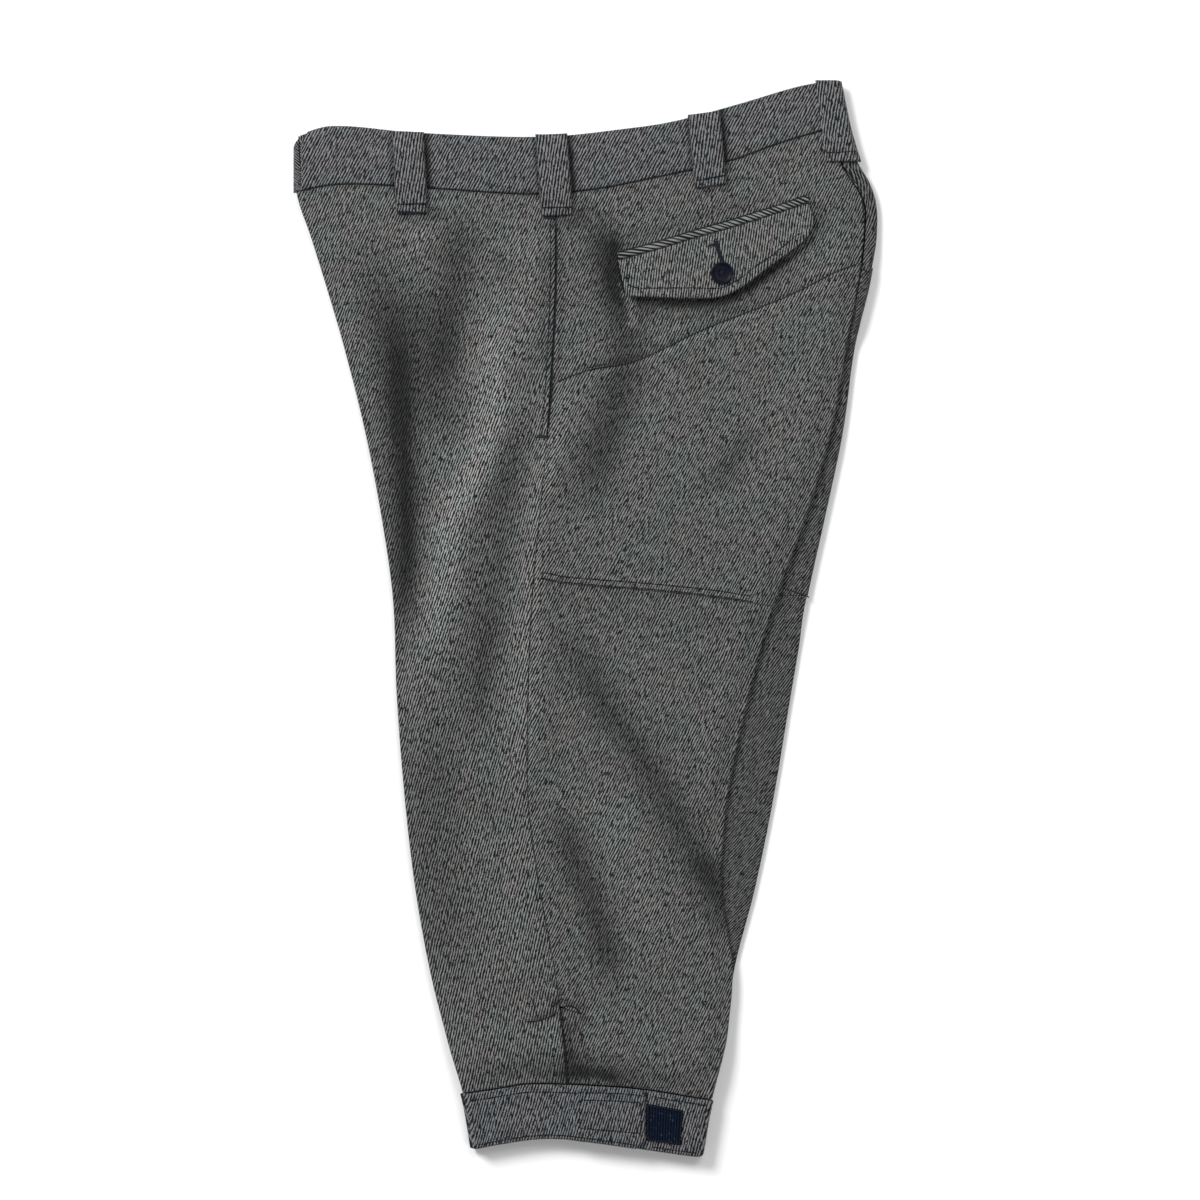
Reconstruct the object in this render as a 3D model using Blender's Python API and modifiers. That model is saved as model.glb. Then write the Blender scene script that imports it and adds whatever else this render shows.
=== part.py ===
"""Knee breeches of grey wool twill, laid flat on their right side.

Frame: +X runs from the front edge to the seat, +Y from the cuffs to the waist, +Z up.
The origin is on the floor, under the middle of the garment. Lengths are in
millimetres here and become metres when a mesh is made.

The cloth lies in four layers, counted from the floor: 0 is the outer side of the right
leg, 1 its inner side, 2 the inner side of the left leg and 3 its outer side. Above the
rise seam only layers 0 and 3 are there. A panel runs in one piece from the side seam,
round the front or back fold of its leg, to the inseam.
"""

import math
from collections import namedtuple

import bpy
from mathutils import Vector
from mathutils.bvhtree import BVHTree

MM = 0.001
CENTRE = (0.5, -0.6)      # middle of the outline's box, moved to the origin

CLOTH = 1.4               # one layer of wool twill
DOUBLE = 2.4              # two layers sewn together: waistband and cuffs
PATCH = 1.0               # the seat patch, pressed thin onto its panel
LOOP = 1.8                # folded belt loop
SEAM_GAP = 0.5            # between the cut edges of two pieces
CENTRE_GAP = 1.2          # the same at centre back, where the edge is curved
CUFF_DROP = 1.0           # a cuff's top below the line of its seam
REST_GAP = 0.3            # between a piece and what it lies on

CROTCH_Y = 95             # lowest point of the rise seam
FRONT_RISE_Y = 180        # the rise seam leaves the front edge here
BACK_RISE_Y = 190         # the rise seam leaves the back edge here
ALLOWANCE = 10            # seam allowance turned in at centre front and back
INSEAM_SHIFT = -10        # the inseam lies this far in front of the side seam
UNDER_LEFT = 12           # the right patch runs this far under the left leg
STEP_Y, STEP_LENGTH = 200, 25     # where the right back climbs to the left one's height
WAIST_Y = 318             # the waist seam at the side
ROUND_IN = 6.5            # centre of the waistband's round, inside the back edge
LOOP_ROOM = 3.1           # the back edge draws in by this under the centre-back loop

PUFF = 2.5                # the top layer stands this much off the layer below
SAG = 2.5                 # it falls by this above the rise, where two layers are missing
PATCH_RAMP = 30           # layers climb onto a patch over this distance
RIGHT_PATCH_RISE = 12     # the right leg lies a little higher than the left one
VENT_TOP_Y, VENT_GAP = -292, 11   # open slit above the cuff

Station = namedtuple("Station", "y front side back outer")
OUTLINE = (               # x of the front edge, side seam, left and right back edges
    Station(404, -214, -22, 184, 193),
    Station(366, -216, -24, 188, 201),
    Station(340, -219, -25, 193, 209),
    Station(313, -215, -22, 209, 219),
    Station(290, -207, -21, 210, 220),
    Station(255, -196, -21, 206, 216),
    Station(204, -181, -23, 196, 204),
    Station(140, -165, -27, 184, 195),
    Station(78, -153, -33, 166, 182),
    Station(14, -144, -39, 143, 168),
    Station(-60, -141, -42, 123, 155),
    Station(-137, -135, -42, 107, 142),
    Station(-205, -127, -33, 103, 128),
    Station(-266, -116, -22, 111, 112.5),
    Station(-317, -103, -16, 106, 107),
    Station(-362, -90, -13, 95, 96),
    Station(-404, -83, -11, 88, 89),
)

Level = namedtuple("Level", "y right_outer right_inner left_inner left_outer")
LEVELS = (                # height of the middle of each layer
    Level(300, 3.3, 5.1, 6.9, 8.7),       # waist: raised by the belt loops below
    Level(245, 0.7, 2.5, 4.3, 6.1),
    Level(200, 0.7, 2.5, 4.3, 6.1),
    Level(CROTCH_Y, 0.7, 3.3, 5.1, 7.7),
    Level(-240, 0.7, 3.3, 5.1, 7.7),
    Level(-290, 0.9, 4.1, 5.9, 8.7),      # room for the strips under the vents
    Level(-345, 3.9, 7.1, 9.9, 13.1),     # cuffs: double cloth and a tab below
)
PATCH_LIFT = (1.3, 1.3, 2.6, 2.6)         # each layer over the seat patches under it

Fold = namedtuple("Fold", "name height width path")
FOLDS = (                 # ridges and troughs of the top layer, from waist to knee
    Fold("front trough", -3.0, 16, ((-161, 312), (-146, 216), (-137, 88), (-134, -36))),
    Fold("fly trough", -2.5, 15, ((-97, 312), (-105, 208), (-95, 128))),
    Fold("thigh ridge", 6.5, 22, ((-60, 240), (-71, 141), (-101, 66), (-108, -10), (-120, -62))),
    Fold("thigh trough", -2.5, 14, ((-46, 138), (-60, 73), (-75, -2), (-82, -92))),
    Fold("pocket ridge", 3.0, 16, ((-41, 300), (-45, 195))),
    Fold("side ridge", 4.0, 17, ((-12, 180), (-35, 90), (-41, -32), (-48, -145))),
    Fold("flap trough", -3.5, 16, ((14, 318), (28, 215), (15, 133), (-5, 62))),
    Fold("knee trough", -3.5, 17, ((-16, -8), (38, -99), (68, -163), (112, -240))),
    Fold("calf trough", -3.0, 15, ((-17, -140), (8, -212), (22, -282))),
    Fold("calf ridge", 2.5, 20, ((12, -150), (45, -215), (60, -265))),
)

Rung = namedtuple("Rung", "top_x top_y low_x low_y")
FLAP = (                  # the hip flap from its blunt front end to its tip
    Rung(25, 268.5, 31, 241), Rung(52, 275.5, 53, 240), Rung(80, 284, 81, 239),
    Rung(103, 290.5, 103, 240.5), Rung(118, 295, 119, 248), Rung(134, 300, 136, 261),
    Rung(151, 305.5, 156, 275.5), Rung(161, 309, 167, 285), Rung(168, 311.5, 172, 297),
)
WELT_WIDTH = 6
BUTTON = dict(x=103, y=258, radius=8.4, height=3.0, rim=1.3, hole_ring=2.3, hole_radius=0.9)

Loop = namedtuple("Loop", "name top_x low_x top_y low_y")
BELT_LOOPS = (            # centre lines of the loops on one side
    Loop("front", -132.5, -129.5, 364.5, 304),
    Loop("side", -25, -20.5, 362.5, 301.5),
    Loop("back", 89.5, 94.5, 378.5, 323.5),
)
LOOP_WIDTH, LOOP_ARCH = 25, 2.2

TAB_END_X, TAB_ROOT_X, TAB_SLOPE = 45.4, -3, 10
FASTENER = ((46.2, -364), (74, -369), (72, -395), (46.2, -391.5))

GREY = (0.085, 0.088, 0.09)
NAVY = (0.006, 0.009, 0.02)

garment = bpy.data.collections.new("knee_breeches")


# ---- smooth lines through short tables -------------------------------------------------
def ease(t):
    """Rises smoothly from 0 to 1."""
    t = min(max(t, 0.0), 1.0)
    return t * t * (3 - 2 * t)


def through(points):
    """A smooth function through (at, value) points, level beyond both ends."""
    points = sorted(points)
    last = len(points) - 1
    slopes = []
    for i in range(last + 1):
        before, after = points[max(i - 1, 0)], points[min(i + 1, last)]
        slopes.append((after[1] - before[1]) / (after[0] - before[0]))

    def value(at):
        at = min(max(at, points[0][0]), points[last][0])
        i = max(k for k in range(last) if points[k][0] <= at)
        (x0, y0), (x1, y1) = points[i], points[i + 1]
        span, t = x1 - x0, (at - x0) / (x1 - x0)
        return (y0 * (1 + 2 * t) * (1 - t) ** 2 + y1 * t * t * (3 - 2 * t)
                + span * t * (1 - t) * (slopes[i] * (1 - t) - slopes[i + 1] * t))
    return value


def steps(points):
    """A function that eases from one (at, value) point to the next."""
    points = sorted(points)

    def value(at):
        at = min(max(at, points[0][0]), points[-1][0])
        i = max(k for k in range(len(points) - 1) if points[k][0] <= at)
        (x0, y0), (x1, y1) = points[i], points[i + 1]
        return y0 + (y1 - y0) * ease((at - x0) / (x1 - x0))
    return value


front_edge = through([(s.y, s.front) for s in OUTLINE])
side_seam = through([(s.y, s.side) for s in OUTLINE])
back_edge = through([(s.y, s.back) for s in OUTLINE])
outer_edge = through([(s.y, s.outer) for s in OUTLINE])
layer_level = [steps([(row[0], row[1 + layer]) for row in LEVELS]) for layer in range(4)]

waist_seam = through(((-219, 319), (-183, 325), (-117, 322), (-37, 317.5), (9, 321.5),
                      (58, 331), (107, 342), (150, 357), (188, 368), (205, 372)))
band_top = through(((-219, 361), (-190, 369), (-126, 364), (-31, 361), (39, 368),
                    (69, 373), (114, 385), (162, 399), (193, 404)))
patch_top = through(((-24, 176), (3, 186), (38, 193), (88, 216), (151, 241), (206, 266),
                     (217, 258)))
patch_bottom = through(((-38, 30), (-15, 25.5), (51, 20), (90, 16), (138, 9), (168, 4)))
cuff_seam = through(((-92, -357), (-65, -353), (-42, -349.5), (12, -351), (47, -354),
                     (81, -359.5), (97, -362)))
hem = through(((-84, -399), (-60, -394.5), (-33, -391), (-6, -392), (39, -398),
               (66, -402), (89, -405)))


# ---- heights of the layers --------------------------------------------------------------
def fold_height(fold, x, y):
    """A ridge or trough that dies away at its ends and to both sides of its path."""
    heights = [point[1] for point in fold.path]
    along = (y - min(heights)) / (max(heights) - min(heights))
    if not 0 < along < 1:
        return 0.0
    centre = through([(point[1], point[0]) for point in fold.path])(y)
    return fold.height * ease(min(along, 1 - along) * 5) * math.exp(-((x - centre) / fold.width) ** 2)


def away_from_edges(x, y, distance):
    """0 at the front and back edges, 1 further inside than the distance."""
    return ease(min(x - front_edge(y), back_edge(y) - x) / distance)


def away_from_bands(x, y):
    """0 at the waistband and the belt loops' ends and at the cuffs, 1 away from them."""
    return ease((waist_seam(x) - y - 20) / 30) * ease((y - cuff_seam(x)) / 30)


def fold_relief(x, y):
    """How far the folds lift the top layer."""
    relief = PUFF + sum(fold_height(fold, x, y) for fold in FOLDS)
    return max(0.0, relief) * away_from_edges(x, y, 18) * away_from_bands(x, y)


def over_patch(x, y):
    """1 over the seat patches, 0 further away than the ramp."""
    outside = max(patch_bottom(x) - y, y - patch_top(x), side_seam(y) - x)
    return 1 - ease(outside / PATCH_RAMP)


def height(layer, x, y):
    """The middle of a layer, above the floor."""
    curve_of_waist = (waist_seam(x) - WAIST_Y) * ease((y - STEP_Y) / (WAIST_Y - STEP_Y))
    z = layer_level[layer](y - curve_of_waist) + PATCH_LIFT[layer] * over_patch(x, y)
    if layer == 3:
        above_rise = ease((y - CROTCH_Y) / (STEP_Y - CROTCH_Y))
        z += fold_relief(x, y)
        z -= SAG * above_rise * away_from_edges(x, y, 45) * away_from_bands(x, y)
    return z


# ---- meshes -------------------------------------------------------------------------------
def paint(piece, colour, roughness):
    """Gives a piece a material of its own."""
    material = bpy.data.materials.new(piece.name)
    material.use_nodes = True
    shader = material.node_tree.nodes["Principled BSDF"]
    shader.inputs["Base Color"].default_value = (*colour, 1)
    shader.inputs["Roughness"].default_value = roughness
    piece.data.materials.append(material)


def sheet(name, grid, thickness, colour=GREY, roughness=0.9):
    """A wall of cloth: a grid of points on its middle surface, made thick."""
    width = len(grid[0])
    places = [(Vector(point) - Vector((*CENTRE, 0))) * MM for line in grid for point in line]
    faces = [(i * width + j, i * width + j + 1, (i + 1) * width + j + 1, (i + 1) * width + j)
             for i in range(len(grid) - 1) for j in range(width - 1)]
    mesh = bpy.data.meshes.new(name)
    mesh.from_pydata(places, [], faces)
    piece = bpy.data.objects.new(name, mesh)
    garment.objects.link(piece)
    wall = piece.modifiers.new("wall", "SOLIDIFY")
    wall.thickness = thickness * MM
    wall.offset = 0
    wall.use_even_offset = True
    wall.use_quality_normals = True
    mesh.shade_smooth()
    paint(piece, colour, roughness)
    return piece


def moved_out(grid, distance):
    """The same grid, every point moved out square to the surface."""
    moved = []
    for i, line in enumerate(grid):
        moved.append([])
        for j, point in enumerate(line):
            up = Vector(grid[min(i + 1, len(grid) - 1)][j]) - Vector(grid[max(i - 1, 0)][j])
            before = Vector(line[j]) - Vector(line[max(j - 1, 0)])
            after = Vector(line[min(j + 1, len(line) - 1)]) - Vector(line[j])
            normals = [across.cross(up).normalized() for across in (before, after)
                       if across.length > 0]
            middle = sum(normals, Vector()).normalized()
            miter = 1 / max(middle.dot(normals[0]), 0.5)
            moved[-1].append(tuple(Vector(point) + middle * distance * miter))
    return moved


def surface_of(piece):
    """A function that gives the height of a piece's top face at x, y."""
    evaluated = piece.evaluated_get(bpy.context.evaluated_depsgraph_get())
    mesh = evaluated.to_mesh()
    tree = BVHTree.FromPolygons([v.co.copy() for v in mesh.vertices],
                                [p.vertices[:] for p in mesh.polygons])
    evaluated.to_mesh_clear()

    def top(x, y):
        above = Vector(((x - CENTRE[0]) * MM, (y - CENTRE[1]) * MM, 1))
        return tree.ray_cast(above, Vector((0, 0, -1)))[0].z / MM
    return top


# ---- leg panels -----------------------------------------------------------------------------
LOWER = (0, .05, .1, .15, .25, .37, .5, .62, .74, .85, .94)
SEAT = (0, .2, .4, .6, .72, .76, .8, .85, .93)
UPPER = (0, .25, .5, .75, 1)


def between(low, high, part):
    """A line across the garment, part of the way from one seam to the next."""
    return lambda x: low(x) + (high(x) - low(x)) * part


def panel_rows(patch_rise):
    """Lines across a panel, from the cuff seam to the waist seam."""
    def low(x):
        return patch_bottom(x) + patch_rise

    def cuff(x):
        return cuff_seam(x) + SEAM_GAP

    def waist(x):
        return waist_seam(x) - SEAM_GAP / 2
    return ([between(cuff, low, part) for part in LOWER]
            + [between(low, patch_top, part) for part in SEAT]
            + [between(patch_top, waist, part) for part in UPPER])


def meet(row, place_at):
    """The point where a line across meets a line down the leg."""
    y = row(0)
    for _ in range(8):
        x = place_at(y)
        y = row(x)
    return x, y


def rise_line(y, top_y, top_x):
    """One arm of the U-shaped rise seam, or the inseam below it."""
    inseam = side_seam(y) + INSEAM_SHIFT
    if y <= CROTCH_Y:
        return inseam
    reach = math.sqrt(max(0.0, 1 - ((top_y - min(y, top_y)) / (top_y - CROTCH_Y)) ** 2))
    return inseam + (top_x - inseam) * reach


def inner_end(half, leg, y):
    """Where the hidden side of a panel ends."""
    if half == "front":
        return rise_line(y, FRONT_RISE_Y, front_edge(y) + ALLOWANCE) - SEAM_GAP / 2
    end = rise_line(y, BACK_RISE_Y, back_edge(y) - ALLOWANCE) + SEAM_GAP / 2
    if leg == "left":
        return end
    at_seam = ease((y - BACK_RISE_Y) / 10)
    return end * (1 - at_seam) + (back_edge(y) + CENTRE_GAP) * at_seam


def panel_grid(half, leg, outer_parts, inner_parts):
    """Points of a panel: its outer side, the round of the fold, its inner side."""
    outer, inner = (0, 1) if leg == "right" else (3, 2)
    way = -1 if half == "front" else 1
    edge = front_edge if half == "front" else back_edge if leg == "left" else outer_edge

    def inner_height(x, y):
        if half == "back" and leg == "right":
            climb = ease((y - STEP_Y) / STEP_LENGTH)
            return height(1, x, y) * (1 - climb) + height(3, back_edge(y), y) * climb
        return height(inner, x, y)

    def fold_start(y):
        x = edge(y)
        radius = abs(inner_height(x, y) - height(outer, x, y)) / 2
        wall = CLOTH / 2
        if edge is outer_edge:
            wall += (REST_GAP + PATCH) * over_patch(x, y) + LOOP_ROOM * ease((y - 325) / 20)
        return x - way * (radius + wall)

    def start(y):
        vent = VENT_GAP * ease((VENT_TOP_Y - y) / 15) if half == "back" else 0
        return side_seam(y) + way * SEAM_GAP / 2 + vent

    def under_left(y):
        beside = (CENTRE_GAP + 1.5) * ease((y - BACK_RISE_Y) / 10)
        return back_edge(y) + beside - UNDER_LEFT * ease((BACK_RISE_Y - y) / 50)

    grid = []
    for row in panel_rows(RIGHT_PATCH_RISE if leg == "right" else 0):
        line = []
        for part in outer_parts:
            x, y = meet(row, lambda at, p=part: start(at) + (fold_start(at) - start(at)) * p)
            line.append((x, y, height(outer, x, y)))
        x_fold, y_fold, z_out = line[-1]
        z_in = inner_height(x_fold, y_fold)
        middle, radius = (z_out + z_in) / 2, (z_out - z_in) / 2
        for angle in (45, 0, -45):
            turn = math.radians(angle)
            line.append((x_fold + way * abs(radius) * math.cos(turn), y_fold,
                         middle + radius * math.sin(turn)))
        follow = max(ease((80 - y_fold) / 40), ease((y_fold - BACK_RISE_Y - 10) / 20))
        for part in inner_parts:
            x, y = x_fold, y_fold
            for _ in range(8 if part else 0):
                first = under_left(y) if edge is outer_edge else x_fold
                is_first = edge is outer_edge and part == inner_parts[1]
                x = first + (inner_end(half, leg, y) - first) * (0 if is_first else part)
                y = y_fold + follow * (row(x) - y_fold)
            line.append((x, y, inner_height(x, y)))
        grid.append(line)
    faces_in = (half == "front") == (leg == "left")
    return [line[::-1] for line in grid] if faces_in else grid


def spread(count):
    """Parts from 0 to 1."""
    return [i / count for i in range(count + 1)]


def make_panels():
    """The four leg panels and the two patches over the seat."""
    grids = {}
    for half, leg, outer, inner in (("front", "left", 8, 3), ("front", "right", 5, 3),
                                    ("back", "left", 10, 3), ("back", "right", 7, 3)):
        grids[f"{leg}_{half}"] = panel_grid(half, leg, spread(outer), spread(inner))
    panels = {name: sheet(name, grid, CLOTH) for name, grid in grids.items()}
    low, high = len(LOWER), len(LOWER) + len(SEAT)
    out = (CLOTH + PATCH) / 2 + REST_GAP
    left = [line[:11] for line in grids["left_back"][low:high + 1]]
    sheet("left_seat_patch", moved_out(left, out), PATCH)
    right = [line[-13:] for line in grids["right_back"][low:high + 1]]
    sheet("right_seat_patch", moved_out(right, out), PATCH)
    return panels


# ---- waistband, cuffs and what is sewn on -----------------------------------------------------
def turned(grid):
    """Rows for columns."""
    return [list(line) for line in zip(*grid)]


def band_line(place_at):
    """Three points up the waistband: at its seam, its middle and its free edge."""
    line = []
    for part in (0, 0.5, 1):
        row = between(lambda x: waist_seam(x) + SEAM_GAP / 2, band_top, part)
        line.append(meet(row, place_at))
    return line


def make_waistbands():
    """The left band ends at centre front and back; the right one rounds the back edge."""
    bottom, top = LEVELS[0].right_outer, LEVELS[0].left_outer
    middle, radius = (top + bottom) / 2, (top - bottom) / 2
    left = []
    for part in spread(20):
        line = band_line(lambda y, p=part: -213 + (back_edge(y) - SEAM_GAP / 2 + 213) * p)
        left.append([(x, y, top) for x, y in line])
    sheet("left_waistband", turned(left), DOUBLE)
    right = []
    for part in spread(20):
        line = band_line(lambda y, p=part: -219 + (outer_edge(y) - ROUND_IN + 219) * p)
        right.append([(x, y, bottom) for x, y in line])
    for angle in (-45, 0, 45, 90):
        turn = math.radians(angle)
        line = band_line(lambda y, t=turn: outer_edge(y) - ROUND_IN + radius * math.cos(t))
        right.append([(x, y, middle + radius * math.sin(turn)) for x, y in line])
    right.append([(x, y, top) for x, y in band_line(lambda y: back_edge(y) + SEAM_GAP)])
    sheet("right_waistband", turned(right[::-1]), DOUBLE)


def make_belt_loops():
    """Three loops a side, and one over the centre back."""
    left_z = LEVELS[0].left_outer + DOUBLE / 2 + REST_GAP + LOOP / 2
    for loop in BELT_LOOPS:
        for leg, z, arch in (("left", left_z, LOOP_ARCH), ("right", LOOP / 2, 0)):
            grid = []
            for part in spread(6):
                x = loop.top_x + (loop.low_x - loop.top_x) * part
                y = loop.top_y + (loop.low_y - loop.top_y) * part
                rise = arch * math.sin(math.pi * min(1, part * 1.1)) ** 0.7 if part < 0.9 else 0
                grid.append([(x + LOOP_WIDTH * side, y, z + rise) for side in (-0.5, 0, 0.5)])
            sheet(f"belt_loop_{leg}_{loop.name}", grid, LOOP)
    middle = (LEVELS[0].right_outer + LEVELS[0].left_outer) / 2
    radius = left_z - middle
    grid = []
    for part in spread(5):
        y = 403 - 61 * part
        edge = outer_edge(y) - ROUND_IN
        line = [(173 + 7 * part, y, left_z), (184 + 4 * part, y, left_z)]
        for angle in (90, 60, 30, 5):
            turn = math.radians(angle)
            line.append((edge + (radius + 0.5) * math.cos(turn), y,
                         middle + radius * math.sin(turn)))
        grid.append(line)
    sheet("belt_loop_centre_back", grid, LOOP)


def make_cuffs():
    """One band round each leg, whose front end laps over its back end as a tab."""
    def low(x):
        return cuff_seam(x) - CUFF_DROP

    for leg, layers, sign, shift in (("left", (3, 2), 1, 0), ("right", (0, 1), -1, -2.5)):
        outer_z = LEVELS[-1][1 + layers[0]]
        inner_z = LEVELS[-1][1 + layers[1]]
        tab_z = outer_z + sign * (DOUBLE + REST_GAP)
        radius = abs(outer_z - inner_z) / 2
        grid = []
        for part in (0, 0.5, 1):
            y = -357 - 44 * part
            front = front_edge(y) + shift + DOUBLE / 2 + radius
            edge = back_edge if leg == "left" else outer_edge
            back = edge(y) - DOUBLE / 2 - radius
            line = [(TAB_END_X, tab_z), (21, tab_z), (TAB_ROOT_X, tab_z),
                    (TAB_ROOT_X - TAB_SLOPE, outer_z), (-38, outer_z), (-62, outer_z),
                    (front, outer_z)]
            line += round_fold(front, -radius, outer_z, inner_z)
            line += [(front + (back - front) * p, inner_z) for p in spread(8)]
            line += round_fold(back, radius, inner_z, outer_z)
            line += [(back, outer_z), (78, outer_z), (62, outer_z), (48, outer_z), (30, outer_z),
                     (15, outer_z), (0, outer_z)]
            grid.append([(x, low(x) + (hem(x) - low(x)) * part, z) for x, z in line])
        sheet(f"{leg}_cuff", grid, DOUBLE)
        fastener_z = outer_z + sign * (DOUBLE / 2 + REST_GAP + 0.5)
        corners = [(*corner, fastener_z) for corner in FASTENER]
        sheet(f"{leg}_fastener", [[corners[3], corners[2]], [corners[0], corners[1]]], 1.0,
              NAVY, 0.95)


def round_fold(x, reach, z_from, z_to):
    """Points round a fold at x, from one layer to the other."""
    middle, half = (z_from + z_to) / 2, (z_from - z_to) / 2
    return [(x + reach * math.cos(math.radians(a)), middle + half * math.sin(math.radians(a)))
            for a in (45, 0, -45)]


def make_vents():
    """The strip under each open slit above the cuff."""
    for leg, layer, sign in (("left", 3, -1), ("right", 0, 1)):
        rows = panel_rows(RIGHT_PATCH_RISE if leg == "right" else 0)[:4]
        grid = []
        for row in rows:
            line = []
            for reach in (-10, 2, 14, 24):
                x, y = meet(row, lambda at, r=reach: side_seam(at) + r)
                line.append((x, y, height(layer, x, y) + sign * (CLOTH / 2 + REST_GAP + 0.6)))
            grid.append(line)
        sheet(f"{leg}_vent_underlap", grid, 1.0)


def make_hip_pocket(panel_top):
    """The welt along the pocket, the flap under it, and its button."""
    clear = REST_GAP + 0.3
    flap, welt = [], []
    for rung in FLAP:
        line = []
        for part in spread(4):
            x = rung.top_x + (rung.low_x - rung.top_x) * part
            y = rung.top_y + (rung.low_y - rung.top_y) * part
            line.append((x, y, panel_top(x, y) + clear + 0.9))
        flap.append(line)
        line = []
        for distance in (SEAM_GAP, SEAM_GAP + WELT_WIDTH):
            x, y = rung.top_x - distance * 0.3, rung.top_y + distance * 0.95
            line.append((x, y, panel_top(x, y) + clear + 0.9))
        welt.append(line)
    flap_top = surface_of(sheet("hip_flap", flap, 1.8))
    sheet("hip_welt", welt, 1.8)
    make_button(flap_top(BUTTON["x"], BUTTON["y"]) + REST_GAP + 0.2)


def make_button(z):
    """A four-hole button: a turned disc with a raised rim, and holes bored through."""
    radius, top, rim = BUTTON["radius"], BUTTON["height"], BUTTON["rim"]
    profile = ((0, top - 0.9), (radius - rim - 1, top - 0.9), (radius - rim, top),
               (radius - 0.5, top), (radius, top - 0.6), (radius, 0.8), (radius - 1.2, 0), (0, 0))
    mesh = bpy.data.meshes.new("hip_button")
    mesh.from_pydata([(x * MM, 0, y * MM) for x, y in profile], [],
                     [(i, i + 1) for i in range(len(profile) - 1)])
    button = bpy.data.objects.new("hip_button", mesh)
    button.location = ((BUTTON["x"] - CENTRE[0]) * MM, (BUTTON["y"] - CENTRE[1]) * MM, z * MM)
    garment.objects.link(button)
    turn = button.modifiers.new("turn", "SCREW")
    turn.steps = turn.render_steps = 20
    turn.use_merge_vertices = True
    turn.merge_threshold = 0.00001
    for quarter in range(4):
        angle = math.radians(45 + 90 * quarter)
        ring = BUTTON["hole_ring"]
        bpy.ops.mesh.primitive_cylinder_add(
            vertices=8, radius=BUTTON["hole_radius"] * MM, depth=0.02,
            location=(button.location.x + ring * math.cos(angle) * MM,
                      button.location.y + ring * math.sin(angle) * MM, z * MM))
        drill = bpy.context.object
        drill.name = f"hole_cutter_{quarter}"
        drill.hide_render = True
        drill.display_type = "WIRE"
        for collection in list(drill.users_collection):
            collection.objects.unlink(drill)
        cutters.objects.link(drill)
        hole = button.modifiers.new("hole", "BOOLEAN")
        hole.object = drill
    paint(button, NAVY, 0.4)


for old in list(bpy.data.objects):
    bpy.data.objects.remove(old)
cutters = bpy.data.collections.new("cutters")
bpy.context.scene.collection.children.link(garment)
bpy.context.scene.collection.children.link(cutters)

panels = make_panels()
make_waistbands()
make_belt_loops()
make_cuffs()
make_vents()
make_hip_pocket(surface_of(panels["left_back"]))
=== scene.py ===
import math
from collections import namedtuple

import bpy
import numpy as np
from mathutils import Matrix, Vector
from mathutils.bvhtree import BVHTree


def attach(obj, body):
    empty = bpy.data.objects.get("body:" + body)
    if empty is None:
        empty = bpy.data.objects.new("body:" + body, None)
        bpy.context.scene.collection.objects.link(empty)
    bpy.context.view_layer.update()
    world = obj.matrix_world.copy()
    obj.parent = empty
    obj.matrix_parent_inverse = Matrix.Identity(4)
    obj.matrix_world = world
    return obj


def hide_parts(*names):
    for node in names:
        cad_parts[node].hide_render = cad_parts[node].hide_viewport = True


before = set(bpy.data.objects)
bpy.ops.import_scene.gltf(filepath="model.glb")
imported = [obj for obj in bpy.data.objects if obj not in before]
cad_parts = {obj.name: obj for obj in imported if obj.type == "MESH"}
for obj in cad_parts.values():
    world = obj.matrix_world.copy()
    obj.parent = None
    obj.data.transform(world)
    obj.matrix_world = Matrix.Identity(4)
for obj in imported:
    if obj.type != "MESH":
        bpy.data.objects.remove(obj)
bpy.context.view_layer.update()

# ---- Floor, light and camera ---------------------------------------------------------------------
# The breeches lie on a plain pale floor, and the camera looks straight down on them. The main lamp
# stands beyond the waistband's front end, a weak one opposite it, and another beyond its back end.
MM = 0.001
VIEW_MIDDLE = (11.1, 13.7)      # where the camera looks, in mm
VIEW_WIDTH = 0.904              # metres across the view, on the floor
CAMERA_HEIGHT = 2.5
SENSOR = 36.0
SKY_LIGHT = 0.3
FLOOR_SIZE, FLOOR_LEVEL = 12, -0.3

scene = bpy.context.scene
scene.view_settings.view_transform = "Standard"

scene.world = bpy.data.worlds.new("studio")
scene.world.use_nodes = True
sky = scene.world.node_tree.nodes["Background"]
sky.inputs["Color"].default_value = (1.0, 1.0, 1.0, 1.0)
sky.inputs["Strength"].default_value = SKY_LIGHT


def lamp(name, place, size, power):
    """A square soft lamp that faces the middle of the floor."""
    light = bpy.data.lights.new(name, "AREA")
    light.size = size
    light.energy = power
    holder = bpy.data.objects.new(name, light)
    holder.location = place
    holder.rotation_euler = (-Vector(place)).to_track_quat("-Z", "Y").to_euler()
    scene.collection.objects.link(holder)


lamp("key_lamp", (-2.4, 2.4, 2.8), 1.5, 225)
lamp("fill_lamp", (2.4, -1.6, 3.0), 2.0, 34)
lamp("top_lamp", (0.9, 1.9, 3.3), 1.6, 44)

lens = bpy.data.cameras.new("camera")
lens.sensor_width = SENSOR
lens.lens = SENSOR * CAMERA_HEIGHT / VIEW_WIDTH
camera = bpy.data.objects.new("camera", lens)
camera.location = (VIEW_MIDDLE[0] * MM, VIEW_MIDDLE[1] * MM, CAMERA_HEIGHT)
scene.collection.objects.link(camera)
scene.camera = camera

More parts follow.
